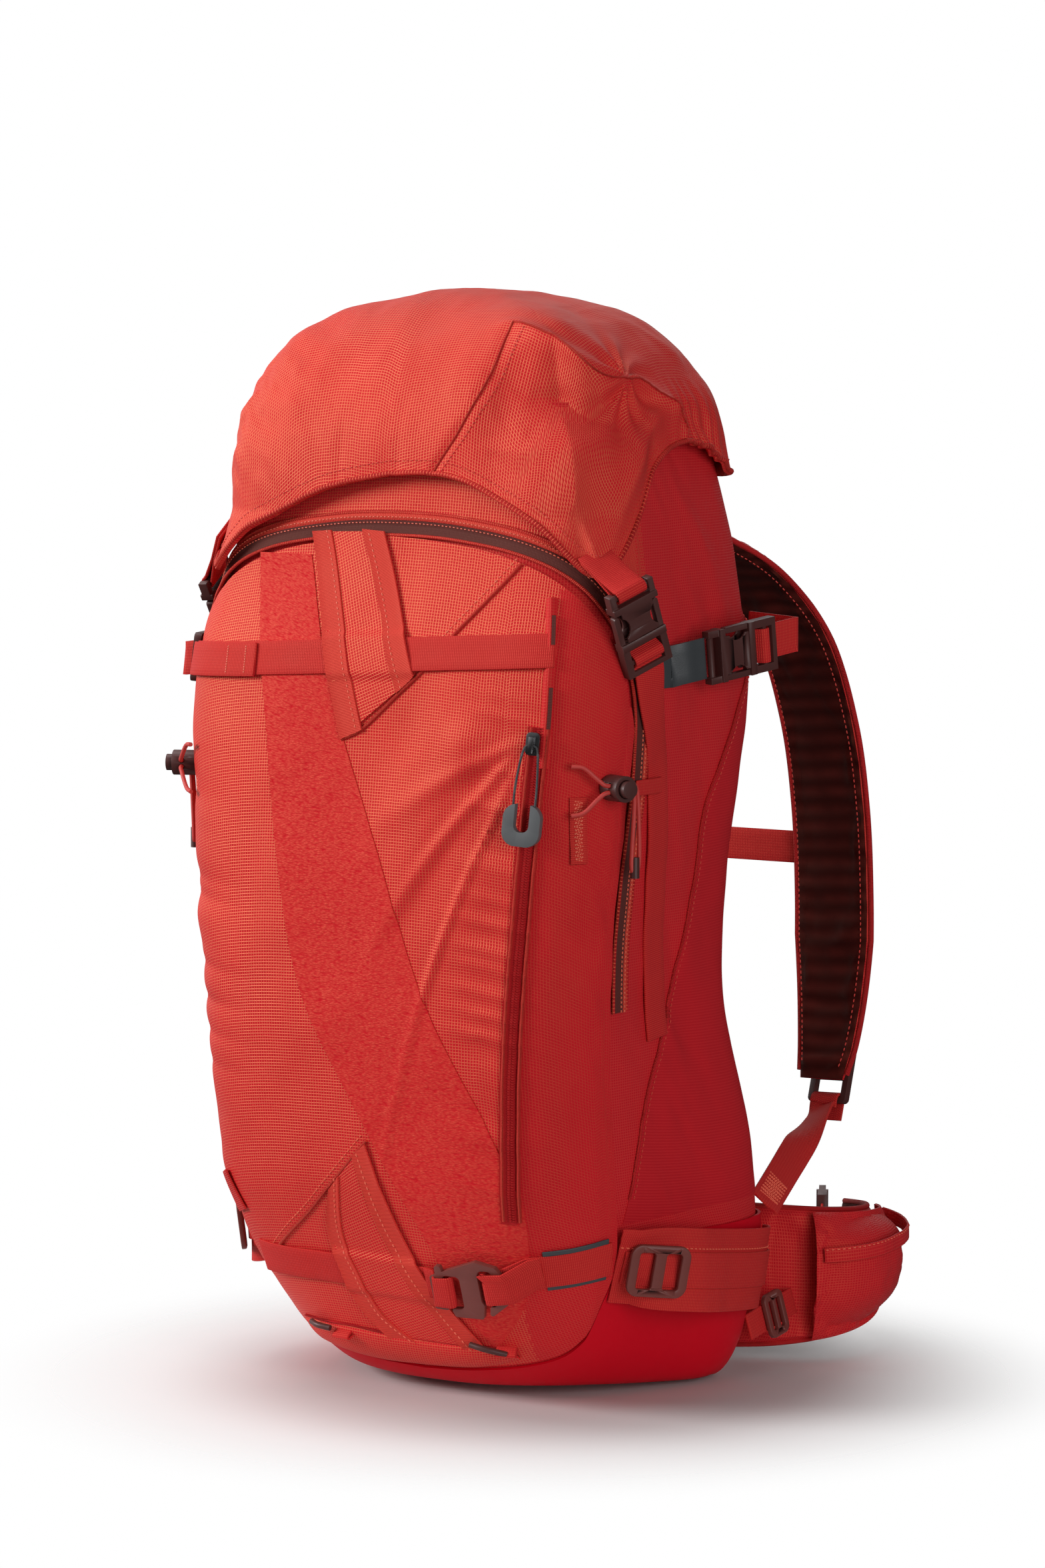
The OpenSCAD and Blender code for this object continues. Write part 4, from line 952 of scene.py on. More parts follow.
# %% Pocket band above the boot
BAND_TOP = [(-84, 40), (-40, 40), (-8, 37.5), (43, 36), (70, 36)]
BAND_LOW = [(-74, 23), (-40, 18), (-12, 17), (36, 20), (72, 29)]
tool_band = applique("tool_band", BAND_TOP, BAND_LOW, PANEL_OFF + 0.4, 1.0, 14, 110, puff=2.4)
finish(tool_band, panel_cloth, "pack", "shell_fabric")
edges = [front_line(BAND_TOP, PANEL_OFF + 0.5)[0]]
finish(piping("band_edge", edges, 1.6), stash_tape, "pack", "zip_tape")
pulls = [route([front_skin(x + along, 37 + drop, PANEL_OFF + lift) for along, drop, lift in spots], 20)
         for x, spots in ((-58, ((-8, 2, 5), (0, 1, 6.5), (8, 0, 5))), (52, ((-9, 1, 5), (0, -1, 7), (12, -4, 6))))]
finish(piping("band_pulls", pulls, 3.6, 3), buckle_plastic, "pack", "zip_metal")

# %% Front seams
UPPER_SEAM = [(89, 494), (55, 458), (34, 434), (17, 418), (-5, 398), (-19, 391)]
LOWER_SEAM = [(-1, 159), (-30, 129), (-55, 105), (-104, 68)]
seams = [front_line(UPPER_SEAM, PANEL_OFF + 0.3)[0], front_line(LOWER_SEAM, PANEL_OFF + 0.3)[0]]
finish(piping("front_seams", seams, 2.2), panel_cloth, "pack", "shell_fabric")


def sleeve_row(points):
    """A line sewn along a sleeve's ribbon."""
    x, z = route(points, 60).T
    phi = front_phi(x, z)
    return skin(phi, z, PATCH_HI) + (1.1 + over_strap(phi, z))[:, None] * bag_normal(phi, z), bag_normal(phi, z)


rows = [
    front_line([(x - 3, z + 3.5) for x, z in UPPER_SEAM], PANEL_OFF),
    front_line([(x - 3, z + 3.5) for x, z in LOWER_SEAM], PANEL_OFF),
    sleeve_row([(-9, 397.5), (-25, 453), (-44, 510)]),
    sleeve_row([(20, 421), (3, 466), (-15, 511)]),
    sleeve_row([(10, 29), (-14, 50), (-23, 77), (-29, 100), (-25, 134)]),
    sleeve_row([(42, 33), (20, 71), (8, 97), (0, 122), (-8, 151)]),
]
finish(stitches("front_stitches", rows), thread_light, "pack", "shell_fabric")

# %% [markdown]
# ## The arched zip and the stash zip
# A zip is two strips of tape with a coil between. The long arch is covered: dark tape on the panel's side and a
# bright stitched edge outside it. The short stash zip shows its coil, so its teeth are repeated along the line.

# %% Arched zip
ZIP_HALF = [(64.8, 238), (64.8, 310), (64.8, 380), (62.5, 420), (56, 457), (46, 487), (34, 504), (18, 512), (0, 514)]
ZIP_SPOTS = [(-d - 90, z) for d, z in ZIP_HALF] + [(d - 90, z) for d, z in ZIP_HALF[-2::-1]]


def strip_along(name, spots, near, far, height, count, columns=6):
    """A strip beside a line on the bag, between two distances across it; height(u) is its rise off the bag."""
    line = route(spots, count)
    path, face = skin(line[:, 0], line[:, 1]), bag_normal(line[:, 0], line[:, 1])
    across = unit(np.cross(heading(path), face))

    def at(u, v):
        row = np.rint(v * (count - 1)).astype(int)
        return path[row] + mix(near, far, u)[:, None] * across[row] + height(u)[:, None] * face[row]

    return panel(name, at, columns, count - 1)


def beside(spots, shift, off, count=300):
    line = route(spots, count)
    path, face = skin(line[:, 0], line[:, 1], off), bag_normal(line[:, 0], line[:, 1])
    return path + shift * unit(np.cross(heading(path), face)), face


tape = strip_along("zip_tape", ZIP_SPOTS, -2.2, 5.6, lambda u: 2.6 + 0.9 * bump_at(u, 0.12, 0.12), 320, 10)
sewn(tape, 1.2, zip_tape, "pack", "zip_tape", "panel_zip")
edge = strip_along("zip_edge", ZIP_SPOTS, -6.6, -2.4, lambda u: 2.2 + 0.8 * np.sin(np.pi * u), 320, 6)
sewn(edge, 1.2, zip_edge, "pack", "zip_tape")
rims = [beside(ZIP_SPOTS, -7.2, 2.0)[0], beside(ZIP_SPOTS, 5.9, 3.0)[0]]
finish(piping("zip_piping", rims, 2.0), panel_cloth, "pack", "shell_fabric")
rows = [beside(ZIP_SPOTS, -1.2, 3.1), beside(ZIP_SPOTS, -4.5, 2.9)]
finish(stitches("zip_stitches", rows, 2.6, 1.9), thread_light, "pack", "zip_tape")

# %% Stash zip
STASH_LOW = PANEL_OFF + CLOTH_GAP


def stash_spot(z):
    return (float(front_phi(stash_x(z), z)), z)


STASH_SPOTS = [stash_spot(z) for z in range(118, 404, 19)]
stash = strip_along("stash_tape", STASH_SPOTS, -4.6, 4.6,
                    lambda u: STASH_LOW + 0.6 + 0.5 * np.abs(2 * u - 1), 160, 8)
sewn(stash, 1.0, stash_tape, "pack", "zip_tape", "stash_zip")
path, face = beside(STASH_SPOTS, 0, STASH_LOW + 0.7)
side = unit(np.cross(face, np.gradient(path, axis=0)))
teeth = stitches("stash_teeth", [(path + 1.0 * side, face), (path - 1.0 * side, face)], 1.5, 1.0, 2.0, 0.9)
finish(teeth, stash_coil, "pack", "zip_tape")
rims = [beside(STASH_SPOTS, s * 4.9, STASH_LOW + 0.2)[0] for s in (-1, 1)]
finish(piping("stash_piping", rims, 2.4), panel_cloth, "pack", "shell_fabric")

# %% [markdown]
# ## Load straps
# Webbing carries every load on the bag. Each strap is one band along a line on the form, facing out from it, and a
# strap that moves at one end only is fixed where it lies, on neither of the two bodies that hold it.

# %% Straps on the bag
def fan(a, b, low, high, count=9):
    return [(mix(a, b, k / (count - 1)), mix(low, high, k / (count - 1))) for k in range(count)]


ridge = [(-50.2, z) for z in (474, 455, 436, 417, 398, 380)]
welt = strip_along("ridge_welt", ridge, -3.4, 3.4,
                   lambda u: PANEL_OFF + 0.2 + 2.6 * np.sin(np.pi * u) ** 0.7, 60, 8)
# The welt wears the copy of the panel cloth with painted shade.
sewn(welt, 1.0, gusset_cloth_painted_shade, "pack", "shell_fabric")
slits = []
for heights in ((464, 456, 448), (425, 413.5, 402)):
    spots = [(-49.6, z) for z in heights]
    slit = strip_along("slit", spots, -1.1, 1.1, lambda u: PANEL_OFF + 2.4 + 0 * u, 20, 3)
    thicken(slit, 1.0)
    slits.append(slit)
finish(join("ridge_slits", slits), zip_tape, "pack", "zip_tape")
upper = laid_webbing("upper_strap", fan(*UPPER_RUN), STRAP_LOW, count=110)
finish(upper, web_cloth, "pack", "webbing", "front_upper_strap")
left = laid_webbing("left_side_strap", fan(-220, -155, 438, 431), CLOTH_GAP, count=70)
finish(left, web_cloth, "pack", "webbing", "side_strap_left")

# %% Gear hook webbing
HOOK_SPOT = (float(front_phi(58, 78)), 78)
HOOK_T, HOOK_LIFT = 3, 8.1
hook_n = bag_normal(*HOOK_SPOT)
hook_up = square_to(hook_n, UP)
hook_side = np.cross(hook_up, hook_n)


def on_hook(x, y, z):
    """A point by its place on the hook's plate: to the right, up, and out from its back."""
    return bag_point(*HOOK_SPOT) + x * hook_side + y * hook_up + (HOOK_LIFT + z) * hook_n


def hairpin(x, y, facing, turn=HOOK_T / 2 + 0.3 + WEB_T / 2):
    """Webbing turned back round a bar of the plate, from behind it to before it."""
    swing = np.linspace(0, math.pi, 13)
    return [on_hook(x + facing * turn * math.sin(a), y, HOOK_T / 2 - turn * math.cos(a)) for a in swing]


def sewn_strap(name, path):
    path = np.array(path)
    face = unit(np.cross(np.gradient(path, axis=0), hook_up))
    return webbing(name, path, face)


print("gear hook at", np.round(on_hook(0, 0, 0)))

# %% Straps through the gear hook
phi = np.linspace(LOWER_RUN[0], -76, 60)
lower_z = strap_z(LOWER_RUN, phi)
under = [*skin(phi, lower_z, STRAP_LOW + WEB_T / 2), on_hook(-20, -2.4, -1.6)]
over = [on_hook(-22, -2.4, HOOK_T + 0.9),
        *skin(np.array([-74.5, -77]), np.array([75.6, 75.7]), STRAP_HIGH + 1.0)]
lower = sewn_strap("lower_strap", under + hairpin(-13.5, -2.2, 1) + over)
finish(lower, web_cloth, "pack", "webbing", "front_lower_strap")
HOOK_LOOP_RUN = (-31, -50, 93, 86.6)
phi = np.linspace(*HOOK_LOOP_RUN[:2], 30)
loop_z = strap_z(HOOK_LOOP_RUN, phi)
under = [*skin(phi, loop_z, STRAP_HIGH - 0.4), on_hook(22, 3.7, -1.1)]
back = np.array([-49.5, -47.8])
over = [on_hook(26, 4.2, HOOK_T + 1.0), *skin(back, np.array([86.4, 87.2]), STRAP_HIGH + 1.4)]
loop = sewn_strap("hook_loop", under + hairpin(13, 2.5, -1) + over)
finish(loop, web_cloth, "pack", "webbing", "hook_loop_strap")
wear = laid_webbing("wear_strip", fan(-47, -32, 87.6, 92.6), STRAP_LOW - 0.4, WEB_W + 7, 1.0, 30)
finish(wear, wear_cloth, "pack", "wear_fabric", "wear_patches")

# %% Ski loops
LOOP_RUN = [(-30, 4.3), (-27, 8), (-23, 14), (-18, 18.5), (-12, 21.5), (-5, 23),
            (3, 21), (11, 17.5), (20, 14), (29, 10.6), (36, 7), (41, 3.9)]
run = route(LOOP_RUN, 89)
loop_z = 79 - 0.3 * run[:, 0]
level = bag_normal(run[:, 0], loop_z)
level[:, 2] = 0
LOOP_LINE = bag_point(run[:, 0], loop_z) + run[:, 1:] * unit(level)
lean = unit(bag_point(run[:, 0], loop_z + 18) - bag_point(run[:, 0], loop_z - 18))
upright = unit(mix(UP, lean, np.clip((20 - run[:, 1:]) / 10, 0, 1)))
LOOP_FACE = unit(np.cross(heading(LOOP_LINE), upright))
wide = webbing("wide", LOOP_LINE, LOOP_FACE, 49, WEB_T, 10)
top = webbing("top", (LOOP_LINE + (WEB_T + 0.1) * LOOP_FACE)[4:], LOOP_FACE[4:], WEB_W + 1, WEB_T)
loop = finish(join("ski_loop_right", [wide, top]), web_cloth, "pack", "webbing", "ski_loop_right")
finish(mirrored(loop, "ski_loop_left_band"), web_cloth, "pack", "webbing", "ski_loop_left")
loop_up = unit(np.cross(LOOP_FACE, np.gradient(LOOP_LINE, axis=0)))
rows = [(LOOP_LINE + WEB_T / 2 * LOOP_FACE + 12.5 * loop_up, LOOP_FACE)]
seam = stitches("loop_stitches_right", rows)
finish(both_hands("loop_stitches", seam), thread_light, "pack", "webbing")

# %% Lid straps
HINGE = np.array([0, 102.5, 538.0])
MOUTH = {1: np.array([155, -68, 456.0]), -1: np.array([155, -34, 456.0])}
TURN = {1: math.radians(24), -1: math.radians(6)}
LID_STRAP_FOOT = 218


def buckle_frame(hand):
    """The swing and the face of a lid buckle: the right one (1), or the left one (-1) seen in a mirror."""
    m = MOUTH[hand]
    swing = unit(np.array([0, m[2] - HINGE[2], HINGE[1] - m[1]]))
    level, tilted = np.array([1.0, 0, 0]), np.array([0, -swing[2], swing[1]])
    return m, swing, math.cos(TURN[hand]) * level + math.sin(TURN[hand]) * tilted


def lid_strap(hand):
    m, swing, out = buckle_frame(hand)
    z = np.arange(LID_STRAP_FOOT, 379, 16.0)
    phi = side_phi(m[1] + 51 - 22 * (z - LID_STRAP_FOOT) / 210, z)
    path, face = skin(phi, z, CLOTH_GAP + WEB_T / 2), bag_normal(phi, z)
    tip = m - 24.4 * swing - 1.6 * out + (CLOTH_GAP + WEB_T / 2) * out
    low = path[-1]
    path = np.vstack([path, mix(low, tip, 0.35) + 0.5 * face[-1], mix(low, tip, 0.7), tip, tip + 11 * swing])
    face = np.vstack([face, face[-1], unit(face[-1] + out), out, out])
    return webbing("lid_strap", route(path, 80), route(face, 80))


BAR_TURN = [(-21.5, -4.2), (-19, -2.6), (-17, 0.6), (-15.2, 3.6), (-13.2, 4.3),
            (-11.2, 3.6), (-9.4, 0.6), (-7.6, -2.6), (-8.4, -4.4)]


def bar_turn(m, swing, out):
    """Webbing that comes up behind a buckle, over its bar and back down."""
    path = route([m + a * swing + o * out for a, o in BAR_TURN], 50)
    return webbing("bar_turn", path, np.cross(np.cross(swing, out), np.gradient(path, axis=0)))


right = join("lid_strap", [lid_strap(1), bar_turn(*buckle_frame(1))])
left = left_handed(join("other", [lid_strap(-1), bar_turn(*buckle_frame(-1))]), "lid_strap_left")
finish(join("lid_strap_webbing", [right, left]), web_cloth, "pack", "webbing", "lid_straps")

# %% Side compression
COMP_DIR = unit(np.array([0.30, 0.94, 0.14]))
COMP_FACE = square_to(COMP_DIR, np.array([1.0, 0, 0]))
COMP_ROOT = bag_point(-12, 435, 4)
COMP_MOUTH = COMP_ROOT + 52 * COMP_DIR + 3 * COMP_FACE
turn = np.array([-20, -18, -16, -15, -14, -13, -12.0])
path = np.vstack([skin(turn, 434)] + [COMP_ROOT + s * COMP_DIR for s in (8, 16, 22)])
face = np.vstack([bag_normal(turn, 434)] + [COMP_FACE] * 3)
finish(bar_turn(COMP_MOUTH, -COMP_DIR, COMP_FACE), web_cloth, "side_clip", "webbing")
tab = webbing("compression_tab_cloth", route(path + 1.4 * face, 40), route(face, 40), WEB_W + 4, 1.2)
finish(tab, wear_cloth, "pack", "wear_fabric", "wear_patches")

seam_at = bag_point(40, 450, 1.2)
start = COMP_MOUTH + 15 * COMP_DIR - 4.1 * COMP_FACE
comp_end = COMP_MOUTH + 43 * COMP_DIR - 4.6 * COMP_FACE
flat = unit(COMP_DIR * np.array([1, 1, 0]))
inward = np.array([-flat[1], flat[0], 0])
bend = np.linspace(0, math.radians(78), 16)[:, None]
curl = comp_end + 5 * (np.sin(bend) * flat + (1 - np.cos(bend)) * inward)
run_in = mix(start, comp_end, np.linspace(0, 0.97, 24)[:, None])
run_out = mix(curl[-1], seam_at, np.linspace(0.08, 0.94, 20)[:, None])
path = np.vstack([run_in, curl, run_out])
face = unit(np.cross(np.gradient(path, axis=0), UP))
compression = webbing("compression_webbing", path, face)
crossing(compression, web_cloth, "webbing", "compression_strap", "pack", "side_clip", path[-8], path[20])

# %% [markdown]
# ## Cords
# Shock cord runs through each axe holder's lock in a long loop, a thin cord ties the grip to the stash zip, and a
# drawcord closes the collar. A cord is a round line along the route that the CAD model gives it.

# %% Axe holders
LOCK_FACE = unit(bag_normal(-36, 369) * np.array([1, 1, 0]))
LOCK_AT = bag_point(-36, 369) + (PANEL_OFF + CLOTH_GAP + 0.6) * LOCK_FACE
LOCK_SIDE = np.cross(UP, LOCK_FACE)


def on_lock(x, y, z):
    return LOCK_AT + x * LOCK_SIDE + np.array([0, 0, y]) + z * LOCK_FACE


AXE_ROUTE = [(-26, 13, -1.6), (-20, 12, 2.6), (-13, 5, 7), (-8, 1.9, 8.7), (8, 1.9, 8.7), (13, -1, 7.4),
             (15, -16, 6.6), (16, -38, 6), (15.6, -46, 5.6), (13.2, -48.6, 5.6), (11, -46, 5.6),
             (11, -34, 6), (11.6, -14, 7), (11, -4.4, 7.6), (8, -1.9, 8.7), (-8, -1.9, 8.7),
             (-13, -5, 7), (-20, -13, 2.6), (-26, -15, -1.6)]
CORD_D = 2.6


def path_length(path):
    return float(np.linalg.norm(np.diff(path, axis=0), axis=1).sum()) * MM


def free_cord(name, path, diameter, material, body, node):
    made = line_object(name, path, diameter)
    made.data.materials.append(material)
    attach(made, body)
    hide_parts(node)
    print(name, "is", round(path_length(path) / MM), "mm long")
    return made


axe = route([on_lock(*spot) for spot in AXE_ROUTE], 110)
free_cord("axe_loop_right", axe, CORD_D, shock_cord, "pack", "axe_cord_right")
free_cord("axe_loop_left", axe * MIRROR, CORD_D, shock_cord, "pack", "axe_cord_left")

# %% Springs in the cord locks
COIL_TURNS = 3
coil = np.radians(np.arange(0, 360 * COIL_TURNS + 1, 15))
SPRING_R, SPRING_LOW, SPRING_RISE = 3.4, 3.5, 2.2
wire = [on_lock(SPRING_R * math.cos(a), SPRING_R * math.sin(a), SPRING_LOW + SPRING_RISE * a / coil[-1])
        for a in coil]
spring = piping("cord_spring_right", [np.array(wire)], 0.5, 1)
for hand, piece in (("right", spring), ("left", mirrored(spring, "cord_spring_left"))):
    glass = np.array([1 if hand == "right" else -1, 1, 1])
    finish(piece, alloy, "pack", "frame_alloy", "cord_springs")
    foot = on_lock(0, 0, 3.25) * glass * MM
    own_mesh(piece)

# %% Pull cord
stash_a, stash_b = bag_point(*stash_spot(394)), bag_point(*stash_spot(304))
STASH_DIR = unit(stash_b - stash_a)
STASH_FACE = square_to(STASH_DIR, bag_normal(*stash_spot(350)))
STASH_SIDE = np.cross(-STASH_DIR, STASH_FACE)
STASH_AT = stash_a + (STASH_LOW + 1.4 + 0.9) * STASH_FACE


def on_stash(x, y, z):
    return STASH_AT + x * STASH_SIDE - y * STASH_DIR + z * STASH_FACE


PULL_ROUTE = [(-6.4, -36, 6.6), (-6.4, -26, 6.6), (-5.4, -12, 5.8), (-4, -3.4, 4.8), (-1.8, -1, 4.5), (1.8, -1, 4.5),
              (4, -3.4, 4.8), (5.4, -12, 5.8), (6.4, -26, 6.6), (6.4, -36, 6.6)]
pull = route([on_stash(*spot) for spot in PULL_ROUTE], 60)
free_cord("stash_pull_loop", pull, 1.4, grey_cord, "stash_pull", "stash_pull_cord")

# %% Collar and its drawcord
turn = np.linspace(-84, 262.8, 140)
collar_path = bag_point(turn, RIM_Z - 4, -8)
free_cord("collar_drawcord", collar_path, CORD_D, grey_cord, "pack", "collar_cord")


def collar_at(u, v):
    phi = -270 + 360 * u
    gather = 1.1 * np.sin(np.radians(phi) * 46 + 2 * ripple(phi / 9, v)) * v**2 + 0.8 * folds(phi / 20, v * 3) * v
    return bag_point(phi, mix(RIM_Z - 45, RIM_Z + 3, v), -4.2 - np.maximum(gather, -0.2))


collar = panel("collar_cloth", collar_at, 360, 16)
merge(collar)
sewn(collar, 0.8, lining_cloth, "pack", "shell_fabric", "collar")

# %% [markdown]
# ## Small sewn pieces
# Keepers, pull tabs and folded tails are offcuts of webbing. They are what makes a bag look sewn, so each is laid in
# its own place, and the folded end and the two tags get rows of close stitches.

# %% Tabs and their tacks
def bar_tack(path, face, at, width):
    """A short dense row of stitches across a strap."""
    k = int(at * (len(path) - 1))
    along = heading(path)[k]
    across = np.cross(along, face[k])
    ends = np.linspace(-width / 2, width / 2, 20)[:, None]
    return path[k] + ends * across, repeated(face[k], 20)


keeper = laid_webbing("keeper", fan(-26.4, -14, 367, 367), 3.4, 9, WEB_T, 24)
pieces = [keeper, mirrored(keeper, "keeper_left")]
for x in (-44, 66):
    phi = front_phi(x, 36)
    n = bag_normal(phi, 36)
    up = square_to(n, UP)
    at = skin(phi, 36, PANEL_OFF - 0.5)
    arc = [at + (1.4 * s) * up + h * n for s, h in ((1, -1), (1, 3), (0.7, 6), (0, 7), (-0.7, 6), (-1, 3), (-1, -1))]
    way = [up, up, unit(up + n), n, unit(n - up), -up, -up]
    pieces.append(webbing("pull_tab", route(arc, 30), unit(route(way, 30)), 12, 1.2))
tag = laid_webbing("tag", [(-43, 364), (-42.2, 345), (-41.25, 326)], PANEL_OFF + 0.4, 10, 1.0, 30)
pieces += [tag, mirrored(tag, "tag_left")]
pieces.append(laid_webbing("left_tab", [(-137, 128), (-135.5, 116), (-134, 104)], PANEL_OFF + 0.3, 16, 1.4, 20))
FOLDED_RUN = fan(-139, -118.5, 431.6, 434.5)
pieces.append(laid_webbing("folded_end", FOLDED_RUN, STRAP_HIGH + 0.1, WEB_W, WEB_T, 30))
n = bag_normal(-146, 431)
back_along = unit(bag_point(-152, 431) - bag_point(-146, 431))
out = unit(n + 0.5 * back_along)
start = bag_point(-152.5, 431, STRAP_HIGH - 1)
tail = [start + r * out + t * back_along + [0, 0, -0.22 * r] for r, t in
        ((-1, 0), (6, 0), (14, 1), (22, 1.5), (26, 3), (26.5, 5.5), (24, 7.5), (16, 7), (9, 6.5))]
way = np.array([-back_along] * 4 + [unit(out - back_along), out, unit(out + back_along), back_along, back_along])
pieces.append(webbing("folded_tail", route(tail, 50), unit(route(way, 50))))
finish(join("sewn_tabs", pieces), web_cloth, "pack", "webbing", "webbing_tabs")
folded = on_bag(FOLDED_RUN, STRAP_HIGH + 0.1 + WEB_T, 30)
rows = [bar_tack(*folded, at, WEB_W - 3) for at in (0.72, 0.93)]
spots = [(-43 + 0.05 * k + (0.9 if k % 2 else -0.9), 362 - 1.03 * k) for k in range(34)]
zig = on_bag(spots, PANEL_OFF + 1.4, 340)
rows += [zig, (zig[0] * MIRROR, zig[1] * MIRROR)]
finish(stitches("tab_tacks", rows, 1.5, 1.4, 0.7, 0.4), thread_light, "pack", "webbing")
caps = piping("cap", [np.array([on_lock(13.3, y, 5.6) for y in (-52, -46, -40)])], 5.2, 3)
finish(both_hands("cord_caps", caps), buckle_plastic, "pack", "buckle_plastic")

# %% Rear side panels
SIDE_SEAM = [(-23.25, 126), (-12.75, 183), (6.75, 246), (14.5, 307), (16.75, 353), (30, 410), (46, 470)]
seam_z = [z for phi, z in SIDE_SEAM]
seam_phi = [phi for phi, z in SIDE_SEAM]
SIDE_REAR_Z = (112, 466)


def side_rear_at(u, v):
    z = mix(*SIDE_REAR_Z, v)
    return skin(mix(smooth(z, seam_z, seam_phi), 56, u), z, 0.5)


rear = panel("side_rear", side_rear_at, 70, 150)
thicken(rear, 0.8, offset=-1)
finish(both_hands("side_rear_panels", rear), rear_cloth, "pack", "shell_fabric")
path, face = on_bag(SIDE_SEAM, 0.8, 200)
seam = piping("side_seam", [path], 1.8)
finish(both_hands("side_seams", seam), side_cloth, "pack", "shell_fabric")
dots = stitches("side_dots", [(path + 4 * np.cross(heading(path), face), face)])
finish(both_hands("side_stitches", dots), thread_red, "pack", "shell_fabric")

# %% [markdown]
# ## Padding
# Foam under cloth swells between its seams. Each pad is a closed, flat-sewn shape that a short cloth simulation blows
# up while its rim is held, so the cloth pulls in at the edge as it does on a stuffed strap. What a point may move is
# capped, and the quilting lines are pressed in afterwards.

# %% Blowing up a pad
def points_of(piece):
    flat = np.empty(len(piece.data.vertices) * 3, np.float32)
    piece.data.vertices.foreach_get("co", flat)
    return flat.reshape(-1, 3).astype(float) / MM


def move_points(piece, points):
    piece.data.vertices.foreach_set("co", (points * MM).astype(np.float32).ravel())
    piece.data.update()


def plump(piece, pressure, held, cap, slack=0.02, frames=18):
    before = points_of(piece)
    group = piece.vertex_groups.new(name="held")
    group.add([int(k) for k in np.flatnonzero(held)], 1.0, "REPLACE")
    take(piece)
    cloth = piece.modifiers.new("cloth", "CLOTH")
    cloth.settings.vertex_group_mass = "held"
    cloth.settings.mass = 0.2
    cloth.settings.quality = 6
    cloth.settings.tension_stiffness = cloth.settings.compression_stiffness = 20
    cloth.settings.bending_stiffness = 0.3
    cloth.settings.shrink_min = -slack
    cloth.settings.use_pressure = True
    cloth.settings.uniform_pressure_force = pressure
    cloth.settings.effector_weights.gravity = 0
    cloth.point_cache.frame_start, cloth.point_cache.frame_end = 1, frames
    for step in range(1, frames + 1):
        bpy.context.scene.frame_set(step)
    bpy.ops.object.modifier_apply(modifier=cloth.name)
    bpy.context.scene.frame_set(1)
    piece.vertex_groups.clear()
    moved = points_of(piece) - before
    far = np.linalg.norm(moved, axis=1, keepdims=True)
    move_points(piece, before + moved * np.minimum(1, cap / np.maximum(far, 1e-6)))
    print(piece.name, "moved up to", round(float(far.max()), 1), "mm")


print("pads can be blown up")

# %% The shape of a pad
def pad(name, path, face, width, thickness, columns=36, square=2.6, side=None):
    """A closed pad along a path, with its ends sewn flat."""
    along = heading(path)
    across = unit(np.cross(along, face)) if side is None else side
    last = len(path) - 1

    def at(u, v):
        row = np.rint(v * last).astype(int)
        turn = 2 * np.pi * u
        c, s = np.cos(turn), np.sin(turn)
        lift = (1 - np.abs(c) ** square) ** (1 / 1.7) * np.sign(s)
        aside, rise = c * width[row] / 2, lift * thickness[row] / 2
        return path[row] + aside[:, None] * across[row] + rise[:, None] * face[row]

    return panel(name, at, columns, last)


print("pads can be sewn")

# %% Shoulder straps
STRAP_Z, STRAP_W, STRAP_T = 505, 60, 13
STRAP_STEPS, STRAP_COLUMNS, QUILT_PITCH = 109, 40, 30
STRAP_Y = float(smooth(STRAP_Z, STATION, BACK_REACH)) + 3.8 + 0.7 + STRAP_T / 2
STRAP_ROUTE = [(56, 0, 0), (66, 28, -8), (80, 64, -30), (95, 95, -70), (104, 111, -122),
               (109, 117, -175), (112, 117, -230), (114, 113, -280), (115, 106, -318), (115, 98, -342)]
strap_line = route([(x, STRAP_Y + y, STRAP_Z + z) for x, y, z in STRAP_ROUTE], STRAP_STEPS)
along = heading(strap_line)
swing_out = np.radians(np.minimum(10, np.linspace(0, 27, STRAP_STEPS)))
strap_out = np.stack([np.cos(swing_out), -np.sin(swing_out), 0 * swing_out], -1)
strap_face = unit(np.cross(strap_out, along))
share = np.linspace(0, 18, STRAP_STEPS)
narrowed = np.where(share > 13, mix(0.62, 1, (18 - share) / 5), 1)
strap_wide = STRAP_W * np.where(share < 5, mix(0.86, 1, share / 5), narrowed)
strap_thick = STRAP_T * np.minimum(1, np.minimum(0.35 + share / 1.2, 0.35 + (18 - share) / 1.5))


def across_strap(piece):
    """A strap's points, and for each its step along the strap, its place to the side and its depth."""
    points = points_of(piece)
    step = np.argmin(np.linalg.norm(points[:, None] - strap_line[None], axis=2), axis=1)
    off_line = points - strap_line[step]
    aside, depth = (np.einsum("ij,ij->i", off_line, way[step]) for way in (strap_out, strap_face))
    return points, step, aside, depth


print("strap is", round(distances(strap_line)[-1]), "mm long")

# %% Shoulder straps, blown up and quilted
strap = pad("strap_pad", strap_line, strap_face, strap_wide - 3, strap_thick - 2, STRAP_COLUMNS)
merge(strap)
points, nearest, aside, depth = across_strap(strap)
rim = (np.abs(aside) > strap_wide[nearest] / 2 - 4) | (nearest < 2) | (nearest > STRAP_STEPS - 3)
plump(strap, 3.0, rim, 3.0)
points, nearest, aside, depth = across_strap(strap)
quilt = np.abs(np.sin(np.pi * distances(strap_line)[nearest] / QUILT_PITCH)) ** 0.35
middle = np.clip(1.2 - np.abs(aside) / (strap_wide[nearest] / 2), 0, 1)
pressed = np.where(depth < 0, 2.6 * (1 - quilt) * middle, 0)
move_points(strap, points + pressed[:, None] * strap_face[nearest])
column = np.arange(len(strap.data.polygons)) % STRAP_COLUMNS
lined(strap, side_cloth, quilt_cloth, np.abs(column - 29.5) < 7.6)
edge = (strap_wide / 2 - 0.6)[:, None] * strap_out
binding = piping("strap_binding", [(strap_line + s * edge)[2:-2] for s in (-1, 1)], 3.4, 3)
seam = (strap_wide / 2 - 5.5)[:, None] * strap_out
